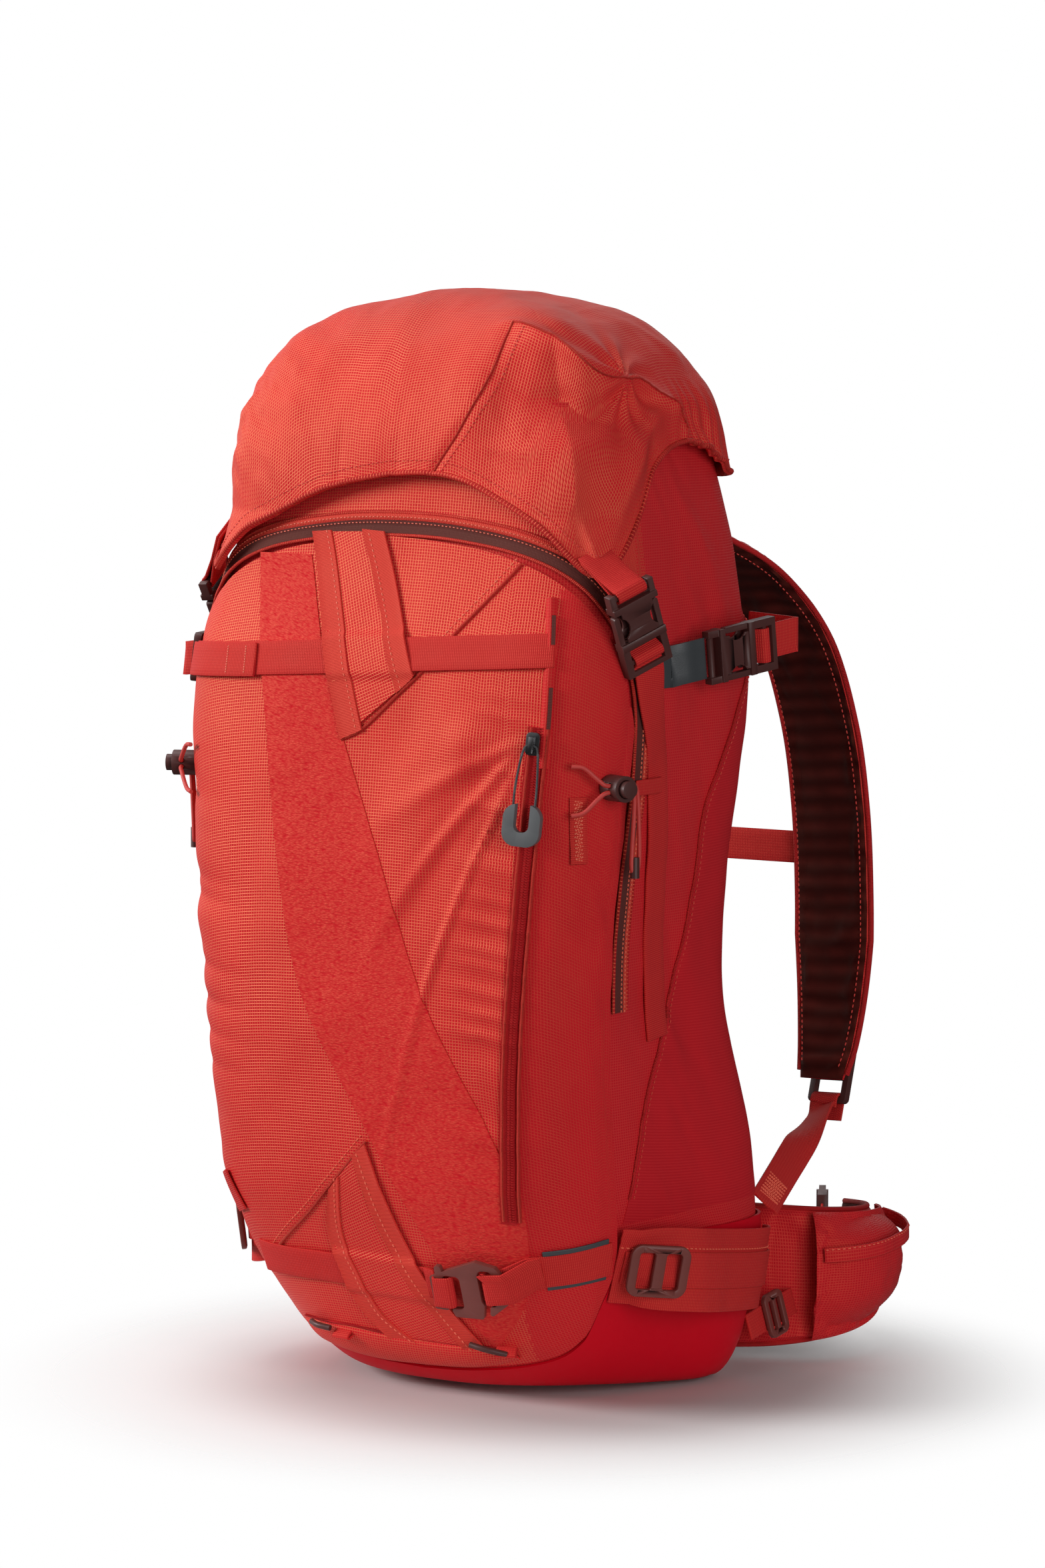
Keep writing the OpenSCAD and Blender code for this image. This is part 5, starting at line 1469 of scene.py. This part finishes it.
rows = [(strap_line + s * seam - 4.3 * strap_face, -strap_face) for s in (-1, 1)]
dots = stitches("strap_dots", [(path[4:-4], face[4:-4]) for path, face in rows])
straps = both_hands("strap_pads", strap)
finish(straps, None, "harness", "pad_mesh", "shoulder_straps", angle=60)
finish(both_hands("strap_bindings", binding), side_cloth, "harness", "shell_fabric")
finish(both_hands("strap_stitches", dots), thread_red, "harness", "shell_fabric")

# %% Harness webbing
LIFTER_STEP, LOCK_STEP, TAIL_STEPS = 12, 102, 90
LOCK_TURN = [(17, -3.8), (13, -3.2), (11, 0), (13, 3.2), (17, 3.8), (27, 4.0)]
end_dir, end_face = along[LOCK_STEP], strap_face[LOCK_STEP]
tail_root = bag_point(41, 104, 5)
lock_mid = strap_line[LOCK_STEP] + (STRAP_T / 2 + 2.65) * end_face + 8 * end_dir
tail_top = lock_mid + 20 * end_dir - 3.4 * end_face
tail_dir = unit(tail_top - tail_root)
tail_face = square_to(tail_dir, np.array([0.5, -0.8, 0]))
turn = np.array([lock_mid + d * end_dir + f * end_face for d, f in LOCK_TURN])
turn_face = [-end_face, -end_face - end_dir, -end_dir, end_face - end_dir, end_face, end_face]
gone = np.linspace(0, 1, 14)[:, None]
twist = np.clip((gone - 0.3) / 0.65, 0, 1)
tail_faces = mix(tail_face, -end_face, twist**2 * (3 - 2 * twist))
tail = route(np.vstack([mix(tail_root, tail_top, gone), turn]), TAIL_STEPS)
tail_way = route(np.vstack([tail_faces, unit(np.array(turn_face))]), TAIL_STEPS)
tails = webbing("tail_right", tail, tail_way, even=False)
head = bag_point(back_phi(72, 524), 524, 6.0)
foot = strap_line[LIFTER_STEP] + (STRAP_T / 2 + 2) * strap_face[LIFTER_STEP]
lift_dir = unit(foot - head)
lift_face = square_to(lift_dir, UP)
lift = mix(head, foot, np.linspace(0, 1, 24)[:, None])
lifters = webbing("lifter_right", lift, repeated(lift_face, 24), WEB_W - 2)
zig = np.linspace(0, 1, 15)[:, None] * 22 * tail_dir + tail_root + 6 * tail_dir
zig = zig + np.where(np.arange(15) % 2, 7, -7)[:, None] * np.cross(tail_dir, tail_face) + (WEB_T / 2) * tail_face
tacks = stitches("tail_tacks", [(route(zig, 200), repeated(tail_face, 200))], 1.6, 1.5, 0.8, 0.5)
flat = np.array([0, 1, 1.0])
hang = ("pack", "harness", tail_root * flat, tail_top * flat)
crossing(both_hands("strap_tails", tails), web_cloth, "webbing", "harness_webbing", *hang)
crossing(both_hands("load_lifters", lifters), web_cloth, "webbing", None, "pack", "harness", head * flat, foot * flat)
crossing(both_hands("tail_tack_rows", tacks), thread_light, "webbing", None, *hang)

# %% Sternum strap
CHEST_STEP = 66
chest = strap_line[CHEST_STEP]
chest_edge = chest - 0.5 * STRAP_W * np.array([math.cos(math.radians(10)), -math.sin(math.radians(10)), 0])
chest_y = chest_edge[1] + 4.1 + WEB_T / 2
x = np.linspace(-chest_edge[0] - 12, chest_edge[0] + 12, 60)
path = np.stack([x, 0 * x + chest_y, 0 * x + chest[2]], -1)
sternum = webbing("sternum_webbing", path, repeated([0, -1.0, 0], 60))
finish(sternum, web_cloth, "sternum", "webbing", "sternum_strap")

# %% Hip wings
WING_T, WING_H = 15, 88
WING_STEPS, WING_COLUMNS = 97, 44
WING_ROUTE = [(96, 138, 0), (124, 148, 0), (145, 164, 0), (153, 187, 0), (148, 214, 0), (132, 240, 0), (106, 261, 0)]
wing_line = route(WING_ROUTE, WING_STEPS)
wing_out = np.cross(heading(wing_line), UP)
share = np.linspace(0, 1, WING_STEPS)
wing_low, wing_top = mix(7, 34, share**1.4), mix(7 + WING_H, 80, share**1.6)
wing_mid = wing_line + ((wing_low + wing_top) / 2)[:, None] * UP
wing_thick = WING_T * np.minimum(1, np.minimum(0.4 + share * 12, 0.4 + (1 - share) * 9))
upright = repeated(UP, WING_STEPS)
wing = pad("wing_pad", wing_mid, wing_out, wing_top - wing_low - 2, wing_thick - 2, WING_COLUMNS, side=-upright)
merge(wing)
points = points_of(wing)
nearest = np.argmin(np.linalg.norm((points[:, None] - wing_mid[None])[:, :, :2], axis=2), axis=1)
high = np.abs(points[:, 2] - wing_mid[nearest, 2])
rim = (high > (wing_top - wing_low)[nearest] / 2 - 4) | (nearest < 2) | (nearest > WING_STEPS - 3)
plump(wing, 3.0, rim, 3.0)
lined(wing, side_cloth, mesh_cloth, np.arange(len(wing.data.polygons)) % WING_COLUMNS >= WING_COLUMNS // 2)
rims = [np.column_stack([wing_line[:, :2], level]) for level in (wing_low + 0.6, wing_top - 0.6)]
binding = piping("wing_binding", [rim[1:-1] for rim in rims], 3.4, 3)
left_wing = mirrored(wing, "wing_pad_left")
left_binding = mirrored(binding, "wing_binding_left")
for hand, piece, edge in (("right", wing, binding), ("left", left_wing, left_binding)):
    finish(piece, None, "hip_" + hand, "pad_mesh", "hip_wing_" + hand, angle=60)
    finish(edge, side_cloth, "hip_" + hand, "shell_fabric")

# %% Hip pocket
POCKET_FROM, POCKET_TO, POCKET_ROWS = 27, 81, 40


def on_wing(j):
    """The wing's line, its outward way and its two edges at a place between its steps."""
    steps = np.arange(len(wing_line))
    line, out = (read_at(j, steps, table) for table in (wing_line, wing_out))
    return line, unit(out), np.interp(j, steps, wing_low), np.interp(j, steps, wing_top)


def pocket_at(u, v):
    j = mix(POCKET_FROM, POCKET_TO, u)
    line, out, low, top = on_wing(j)
    z = mix(low + 1, top - 1, v)
    bulge = 22 * (1 - np.abs((j * 18 / 96 - 9) / 6.2) ** 2.4).clip(0)
    swell = 1 - np.where(v < 0.55, (np.abs(0.55 - v) / 0.55) ** 2.6, (np.abs(v - 0.55) / 0.45) ** 3.6)
    lift = WING_T / 2 + 1.0 + bulge * swell
    lift = lift + 1.1 * folds(u * 9 + 2 * v, v * 5) * np.sin(np.pi * v) * np.sin(np.pi * u)
    return line + np.stack([0 * z, 0 * z, z], -1) + lift[:, None] * out


pocket = panel("pocket_cloth", pocket_at, POCKET_TO - POCKET_FROM, POCKET_ROWS)
points = points_of(pocket)
rim = np.zeros(len(points), bool)
order = np.arange(len(points)).reshape(POCKET_ROWS + 1, -1)
rim[np.concatenate([order[0], order[-1], order[:, 0], order[:, -1]])] = True
plump(pocket, 1.5, rim, 4.0, slack=0.035)
thicken(pocket, 1.4, offset=-1, even=False)
finish(pocket, side_cloth, "hip_right", "shell_fabric", "hip_pocket")

# %% Flap of the hip pocket
def pocket_line(points, lift, count=80):
    """A line over the pocket through (share along, share up) points."""
    u, v = route(points, count).T
    out = on_wing(mix(POCKET_FROM, POCKET_TO, u))[1]
    return pocket_at(u, v) + lift * out, out


ZIP_FLAP = [(0.03, 0.70), (0.25, 0.73), (0.5, 0.78), (0.75, 0.83), (0.97, 0.88)]
path, face = pocket_line(ZIP_FLAP, 1.6)
flap = webbing("pocket_flap", path, face, 9, 1.2)
finish(flap, side_cloth, "hip_right", "shell_fabric")
rows = [(path - 3.4 * np.cross(heading(path), face) + 0.5 * face, face)]
finish(stitches("pocket_stitches", rows), thread_light, "hip_right", "shell_fabric")

# %% Belt straps and stabilisers
belt = route([(105.5, 261.4, 57), (89, 275, 57), (75, 290, 57), (65, 307, 57)], 40)
belt_face = np.cross(heading(belt), UP)
belt_right = webbing("belt_right", belt, belt_face)
finish(mirrored(belt_right, "belt_left"), web_cloth, "hip_left", "webbing", "hip_strap_left")
finish(belt_right, web_cloth, "hip_right", "webbing", "hip_strap_right")
stab_a = bag_point(38, 30, 5.6)
STAB_STEP = 21
stab_b = wing_line[STAB_STEP] + 38 * UP + (WING_T / 2 + 1.2) * wing_out[STAB_STEP]
stab_dir = unit(stab_b - stab_a)
stab_face = square_to(stab_dir, np.array([0.6, -0.8, 0]))
path = mix(stab_a, stab_b, np.linspace(0, 1, 30)[:, None])
stab = webbing("stabiliser_right", path, repeated(stab_face, 30), WEB_W - 4)
stab_left = mirrored(stab, "stabiliser_left")
crossing(stab, web_cloth, "webbing", "stabiliser_straps", "pack", "hip_right", stab_a, stab_b)
crossing(stab_left, web_cloth, "webbing", None, "pack", "hip_left", stab_a * MIRROR, stab_b * MIRROR)

# %% Back pad
SHEET_HI = CLOTH_GAP + 1.6
PAD_LOW = SHEET_HI + CLOTH_GAP + 3 + CLOTH_GAP


def back_panel(name, half, low, high, lift, columns, rows):
    """A piece on the back, drawn from the wearer's left to right; lift(u, v) is its rise off the bag."""

    def at(u, v):
        z = mix(low, high, v)
        return bag_point(back_phi(mix(half, -half, u), z), z, lift(u, v))

    return panel(name, at, columns, rows)


def back_lift(u, v):
    s, e = np.abs(2 * u - 1), np.minimum(v, 1 - v)
    swell = mix(0.42, 1, np.clip((s - 0.12) / 0.12, 0, 1)) * np.clip((1.02 - s) / 0.12, 0, 1) ** 0.5
    swell = np.minimum(swell, mix(0.42, 1, np.clip((np.abs(v - 0.5) - 0.02) / 0.06, 0, 1)))
    soft = 0.6 * folds(u * 8, v * 12)
    return PAD_LOW + 0.6 + (13.5 * swell + soft) * np.clip(e / 0.05, 0, 1) ** 0.5


back = back_panel("back_foam", 84, 126, 466, back_lift, 90, 150)
sewn(back, 1.6, mesh_cloth, "pack", "pad_mesh", "back_pad")

# %% Lumbar pad and yoke
def lumbar_lift(u, v):
    dome = (1 - np.abs(2 * v - 1) ** 3) ** 0.6 * (1 - np.abs(2 * u - 1) ** 4) ** 0.6
    return 6.0 + 15 * dome + 0.5 * folds(u * 7, v * 5)


lumbar = back_panel("lumbar_foam", 78, 26, 114, lumbar_lift, 80, 50)
sewn(lumbar, 1.6, mesh_cloth, "pack", "pad_mesh", "lumbar_pad")
yoke = back_panel("yoke_cloth", 88, 476, 532, lambda u, v: 3.6 + 0 * u, 60, 20)
sewn(yoke, 2.6, side_cloth, "pack", "shell_fabric", "shoulder_yoke")

# %% Haul loop
LOOP_R, HAUL_Z = 22, 490
y0 = float(smooth(HAUL_Z, STATION, BACK_REACH)) + 3.8 + 0.6
bend = np.linspace(0, math.pi, 40)
arc = np.stack([LOOP_R * np.cos(bend), y0 + 6 + LOOP_R * np.sin(bend), 0 * bend + HAUL_Z], -1)
arc = np.vstack([[LOOP_R, y0 + 0.2, HAUL_Z], arc, [-LOOP_R, y0 + 0.2, HAUL_Z]])
face = np.stack([np.r_[1, np.cos(bend), -1], np.r_[0, np.sin(bend), 0], 0 * np.r_[0, bend, 0]], -1)
finish(webbing("haul_webbing", arc, face, 18, 2.0), web_cloth, "pack", "webbing", "haul_loop")

# %% [markdown]
# ## The lid
# The lid is a soft cap: a square grid draped over a rounded form down to a hem that dips at the buckles. Folds run up
# from each buckle, where the strap pulls the cloth, and a few seams join its panels.

# %% Lid shell
LID_TOP, LID_HALF, LID_FRONT, LID_BACK, LID_Z, LID_T = 648, 137, 92, 104, 520, 2.5
LID_HEART = np.array([0, 6, 500.0])
HEM_AT = [0, 20, 36, 48, 54, 63, 76, 96, 114, 130, 180]
HEM_Z = [545, 540, 516.5, 488, 490, 514, 548, 560, 553, 540, 540]


def hem_z(phi):
    return smooth(np.abs(bearing(phi)), HEM_AT, HEM_Z) - 9 * bump_at(bearing(phi), -24, 22)


def lid_point(phi, z, off=0.0):
    phi, z = np.broadcast_arrays(np.asarray(phi, float), np.asarray(z, float))
    flare = np.maximum(0, LID_Z - z)
    across, deep = rounded_square(phi, 4.8)
    k = np.where(z <= LID_Z, 1, (1 - np.clip((z - LID_Z) / (LID_TOP - LID_Z), 0, 1) ** 2.5) ** 0.4)
    middle = (LID_BACK - LID_FRONT) / 2
    half, front, back = LID_HALF + 0.2 * flare + off, LID_FRONT + 0.28 * flare + off, LID_BACK + off
    y = (back - front) / 2 + (back + front) / 2 * deep
    return np.stack([k * half * across, middle + k * (y - middle), z], -1)


print("lid is", 2 * LID_HALF, "mm wide and its crown stands at", LID_TOP)

# %% Lid folds
def away(u, v, line):
    """The distance of each point of a panel from a drawn line, both in shares of the panel."""
    spots = route(line, 60)
    return np.sqrt((u[:, None] - spots[:, 0]) ** 2 + (v[:, None] - spots[:, 1]) ** 2).min(1)


LID_SEAM = [(0.608, 0.0), (0.649, 0.083), (0.657, 0.196), (0.628, 0.32)]
LID_RIDGE = [(0.628, 0.32), (0.72, 0.302), (0.804, 0.359), (0.977, 0.552)]
LID_CORNER = [(0.935, 0.5), (0.93, 0.28), (0.98, 0.09)]
LID_STAR = (0.81, 0.37)


def lid_folds(u, v, ring, d, point):
    """How far the lid's cloth stands out: a sunk facet between ridges, a star of gathers, and folds."""
    x, y, z = point.T
    turned = np.abs(d)
    seam_u = smooth(v, [b for a, b in LID_SEAM], [a for a, b in LID_SEAM])
    ridge_v = smooth(u, [a for a, b in LID_RIDGE], [b for a, b in LID_RIDGE])
    from_ridge = away(u, v, LID_RIDGE)
    ridge = 2.6 * np.clip(1 - from_ridge / 0.10, 0, 1) ** 1.6 + 2.2 * bump_at(from_ridge, 0, 0.016)
    seam = -1.2 * bump_at(away(u, v, LID_SEAM), 0, 0.009)
    deep = (5 + 10 * np.clip((z - 560) / 34, 0, 1)) * np.clip((1 - ring) / 0.12, 0, 1)
    across = np.clip((u - seam_u) / (0.93 - seam_u), 0, 1)
    facet = -deep * np.sin(np.pi * across) * np.clip((ridge_v - v) / 0.10, 0, 1) * (v < 0.6)
    corner = 4.2 * bump_at(away(u, v, LID_CORNER), 0, 0.026)
    turn, r = np.arctan2(v - LID_STAR[1], u - LID_STAR[0]), np.hypot(v - LID_STAR[1], u - LID_STAR[0])
    star = 2.6 * np.sin(9 * turn + 3 * ripple(u * 5, v * 5)) * np.exp(-r / 0.11) * np.clip(r / 0.04, 0, 1)
    pulled = np.clip((ring - 0.45) / 0.5, 0, 1)
    pull = 1.8 * bump_at(turned, 50, 24) * np.sin((turned - 50) / 4.2 + 5 * ring) * pulled
    wave = np.sin(z / 6.5 + 2.5 * ripple(d / 9, ring * 4))
    rear = 2.6 * bump_at(turned, 118, 20) * wave * np.clip(ring - 0.3, 0, 1)
    wave = np.sin(d * 1.15 + 2 * ripple(d / 6, ring * 3))
    gathers = 1.1 * bump_at(turned, 112, 16) * wave * np.clip((ring - 0.7) / 0.2, 0, 1)
    crumple = 1.8 * bump_at(u, 0.2, 0.15) * bump_at(v, 0.2, 0.16) * folds(u * 22 + v * 9, v * 12)
    sag = (2.2 * folds(x / 60 + 3, y / 60) + 0.6 * folds(x / 20, z / 20)) * (1 - ring**6)
    hem = 0.9 * (pucker(d * 2.2, 13, 4) - 0.4) * bump_at(d, -4, 40) * np.clip((ring - 0.72) / 0.2, 0, 1)
    return ridge + seam + facet + corner + star + pull + rear + gathers + crumple + hem + sag


print("lid seam is drawn through", len(LID_SEAM), "points")

# %% Lid cloth
def lid_at(u, v):
    ring, phi = draped(2 * u - 1, 2 * v - 1)
    low = hem_z(phi)
    point = lid_point(phi, low + (LID_TOP - low) * (1 - ring**1.8))
    out = unit(point - LID_HEART)
    return point + lid_folds(u, v, ring, bearing(phi), point)[:, None] * out


lid = panel("lid_cloth", lid_at, 190, 190)
sewn(lid, LID_T, lid_cloth, "lid", "shell_fabric", "lid_shell")

# %% Lid seams and stitches
def lid_ring(share, count=400):
    """A line round the lid at a share of the way from the crown to the hem."""
    turn = np.linspace(-1, 7, count)
    s = np.clip(np.abs((turn - 3) % 8 - 4) - 2, -1, 1)
    t = np.clip(np.abs((turn - 1) % 8 - 4) - 2, -1, 1)
    path = lid_at((1 + share * s) / 2, (1 + share * t) / 2)
    return path, unit(path - LID_HEART)


def lid_line(points, lift, count=90):
    u, v = route(points, count).T
    path = lid_at(u, v)
    out = unit(path - LID_HEART)
    return path + lift * out, out


hem = piping("lid_hem", [lid_ring(0.992)[0]], 3.2)
finish(hem, lid_cloth, "lid", "shell_fabric")
lines = [lid_line(line, 0.2)[0] for line in (LID_SEAM, LID_RIDGE)]
finish(piping("lid_seams", lines, 1.2), lid_cloth, "lid", "shell_fabric")
rows = [lid_ring(0.955)] + [lid_line([(x + 0.018, z) for x, z in LID_SEAM], 0)]
finish(stitches("lid_stitches", rows, 3.0, 2.0), thread_red, "lid", "shell_fabric")

# %% Lid lining
LINER_Z = 596.0


def liner_at(u, v):
    ring, phi = draped(2 * u - 1, 1 - 2 * v)
    rim = lid_point(phi, LINER_Z, -5.3 - 17 * bump_at(bearing(phi), 42, 28))
    middle = np.array([0, 6, LINER_Z])
    ripples = 0.6 * folds(u * 6, v * 6) * (1 - ring**4)
    return middle + ring[:, None] * (rim - middle) + ripples[:, None] * UP


liner = panel("liner_cloth", liner_at, 60, 60)
thicken(liner, 1.2, offset=0)
finish(liner, lining_cloth, "lid", "shell_fabric", "lid_liner")

# %% Webbing through the lid buckles
# The buckle's bar stands this far above its middle, and is this thick; each loop rises and leads in to the lid.
BAR_UP, BAR_R = 27, 2.4
LOOP_LEADS = ((1, 17, 30), (-1, 32, 19))
pieces = []
for hand, rise, inward in LOOP_LEADS:
    m, swing, out = buckle_frame(hand)
    bar = m + BAR_UP * swing
    lead = rise * swing - inward * out
    long = np.linalg.norm(lead)
    lead = unit(lead)
    over = square_to(lead, out)
    r = BAR_R + WEB_T / 2
    bend = np.linspace(math.radians(42), math.radians(318), 44)
    way = np.array([math.cos(b) * lead + math.sin(b) * over for b in bend])
    ends = [[bar + share * long * lead + s * WEB_T / 2 * over for share in (1, 0.75, 0.5)] for s in (1, -1)]
    path = np.vstack([ends[0], bar + r * way, ends[1][::-1]])
    band = webbing("buckle_loop", path, np.vstack([[over] * 3, way, [-over] * 3]))
    pieces.append(band if hand > 0 else left_handed(band, "buckle_loop_left"))
finish(join("buckle_loops", pieces), web_cloth, "lid", "webbing", "lid_webbing")

# %% [markdown]
# ## Hardware
# Buckles, hooks and sliders come from the CAD model as they are: their shape is exact there. They only need the soft
# edge that every moulded piece has. The CAD mesh is loose triangles, so a Weld comes before the Bevel.

# %% Finish the hard pieces
def dress(material, bevel, *nodes):
    for name in nodes:
        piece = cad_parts[name]
        piece.data.materials.clear()
        piece.data.materials.append(material)
        piece.data.polygons.foreach_set("use_smooth", np.ones(len(piece.data.polygons), bool))
        weld = piece.modifiers.new("weld", "WELD")
        weld.merge_threshold = 0.00002
        if bevel:
            soft = piece.modifiers.new("bevel", "BEVEL")
            soft.width = bevel * MM
            soft.segments = 3
            soft.limit_method = "ANGLE"
            soft.angle_limit = math.radians(35)
            soft.harden_normals = True
    print(len(nodes), "solids dressed in", material.name)


dress(buckle_plastic, 0.55, "lid_buckle_males", "lid_buckle_females", "compression_buckle_female",
      "compression_buckle_male", "upper_adjuster_left", "strap_adjusters", "sternum_buckle", "hip_buckle_male",
      "hip_buckle_female", "cord_locks", "cord_button_right", "cord_button_left")
dress(hook_paint, 0.6, "gear_hook", "ski_triglide_right", "ski_triglide_left", "stabiliser_triglides")
dress(gunmetal, 0.4, "panel_zip_slider", "stash_zip_slider")
dress(grip_rubber, 1.2, "stash_pull_grip")
dress(alloy, 0.0, "frame_stays")
dress(sheet_plastic, 0.3, "frame_sheet")

# %% [markdown]
# ## Light, floor and camera
# A catalogue picture has soft light from the upper left, a little fill from the right, and a white sweep. The floor
# fades out away from the bag, so only its shadow shows, and a soft shadow is painted in its colour below the bag, on
# top of the one the lamps cast. The world is white to the camera, but shiny cloth sees it bright on the lit side
# only, as it would beside a dark flag. The camera stands where the photograph was taken from.

# %% Lamps
scene = bpy.context.scene
scene.view_settings.view_transform = "Standard"


def area_light(name, place, aim, size, power):
    start_clean()
    bpy.ops.object.light_add(type="AREA", location=place)
    lamp = bpy.context.object
    lamp.name = name
    lamp.data.shape = "DISK"
    lamp.data.size = size
    lamp.data.energy = power
    away = np.array(place) - np.array(aim)
    lamp.rotation_euler = (math.atan2(np.hypot(away[0], away[1]), away[2]), 0, math.atan2(away[0], -away[1]))
    return lamp


AIM = (0, 0, 0.33)
# A name, a place, a size in metres and a power in watts.
area_light("key", (-2.6, -2.1, 1.55), AIM, 1.5, 108)
area_light("fill", (2.6, -1.6, 0.7), AIM, 2.0, 43)
area_light("top", (-0.9, -0.2, 2.5), AIM, 1.4, 15)
area_light("back", (-0.6, 2.6, 1.6), AIM, 1.6, 5)
print(len(bpy.data.lights), "lamps")

# %% World
world = bpy.data.worlds.new("studio")
scene.world = world
world.use_nodes = True
sky = world.node_tree
path_node = sky.nodes.new("ShaderNodeLightPath")
background = sky.nodes["Background"]
background.inputs["Color"].default_value = (1, 1, 1, 1)


def sky_node(kind, *values, **settings):
    made = sky.nodes.new(kind)
    for key, value in settings.items():
        setattr(made, key, value)
    for socket, value in zip(made.inputs, values):
        if isinstance(value, bpy.types.NodeSocket):
            sky.links.new(value, socket)
        else:
            socket.default_value = value
    return made


LIT_FROM = (-0.72, -0.2, 0.66)
AMBIENT, FLAG = 0.16, 0.06
toward = sky_node("ShaderNodeTexCoord").outputs["Generated"]
facing = sky_node("ShaderNodeVectorMath", toward, LIT_FROM, operation="DOT_PRODUCT").outputs["Value"]
sheen = sky_node("ShaderNodeMapRange", facing, 0.1, 0.8, FLAG, 1.0, interpolation_type="SMOOTHSTEP").outputs[0]
seen = [path_node.outputs[f"Is {kind} Ray"] for kind in ("Camera", "Transmission")]
open_view = sky_node("ShaderNodeMath", *seen, operation="MAXIMUM").outputs[0]
mirror = sky_node("ShaderNodeMapRange", path_node.outputs["Is Glossy Ray"], 0.0, 1.0, AMBIENT, sheen).outputs[0]
level = sky_node("ShaderNodeMapRange", open_view, 0.0, 1.0, mirror, 1.0).outputs[0]
sky.links.new(level, background.inputs["Strength"])
print(len(sky.nodes), "nodes light the world")

# %% Floor
start_clean()
bpy.ops.mesh.primitive_circle_add(vertices=96, radius=2.4, fill_type="NGON", location=(0, 0, -0.0005))
floor = bpy.context.object
floor.name = "floor"
floor_finish = Finish("floor_sweep", roughness=0.9)


def floor_ramp(centre, size, near, far, low, high):
    """A smooth change over the floor, by the distance from a centre in shares of a size."""
    shifted = floor_finish.node("ShaderNodeMapping", vector_type="TEXTURE")
    floor_finish.feed(shifted.inputs["Vector"], floor_finish.place())
    shifted.inputs["Location"].default_value = (*centre, 0)
    shifted.inputs["Scale"].default_value = (*size, 1)
    reach = floor_finish.node("ShaderNodeVectorMath", operation="LENGTH")
    floor_finish.feed(reach.inputs[0], shifted.outputs[0])
    ramp = floor_finish.node("ShaderNodeMapRange", interpolation_type="SMOOTHSTEP")
    for socket, value in zip(ramp.inputs, (reach.outputs["Value"], near, far, low, high)):
        floor_finish.feed(socket, value)
    return ramp.outputs[0]


# Painted shadow: the floor's colour is darkened, with a little red, in a soft patch round the bag's foot.
painted_shadow_fade = floor_ramp((0.02, 0.01), (0.14, 0.13), 0.75, 1.7, 0.0, 1.0)
floor_finish.paint(floor_finish.colour((0.64, 0.61, 0.61), (0.985, 0.985, 0.985), painted_shadow_fade))
floor_finish.feed(floor_finish.shader.inputs["Alpha"], floor_ramp((0.02, 0.03), (1, 1), 0.16, 0.35, 1.0, 0.0))
floor.data.materials.append(floor_finish.material)
floor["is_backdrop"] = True
print("floor is", round(floor.dimensions.x, 2), "m across")

# %% Camera
PHOTO = (1568, 2352)
SIGHT_TURN, SIGHT_RISE, SIGHT_LENGTH = math.radians(33), math.radians(6), 3.2
SIGHT_AIM = np.array([0, 0, 0.325])
PIXELS_PER_MM = 2.53
SENSOR = 36
AIM_PIXEL = (713, 1257)
start_clean()
bpy.ops.object.camera_add()
camera = bpy.context.object
level_way = np.array([math.sin(SIGHT_TURN), -math.cos(SIGHT_TURN), 0])
to_camera = math.cos(SIGHT_RISE) * level_way + math.sin(SIGHT_RISE) * UP
camera.location = SIGHT_AIM + SIGHT_LENGTH * to_camera
camera.rotation_euler = (math.pi / 2 - SIGHT_RISE, 0, SIGHT_TURN)
camera.data.sensor_width = SENSOR
camera.data.lens = SENSOR * PIXELS_PER_MM * SIGHT_LENGTH * 1000 / PHOTO[1]
camera.data.shift_x = (PHOTO[0] / 2 - AIM_PIXEL[0]) / PHOTO[1]
camera.data.shift_y = (AIM_PIXEL[1] - PHOTO[1] / 2) / PHOTO[1]
scene.camera = camera
print("lens is", round(camera.data.lens), "mm")

# %% [markdown]
# ## Sizes and the end
# The last cell measures the box round everything that renders, the floor left out.

# %% Sizes
low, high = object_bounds()
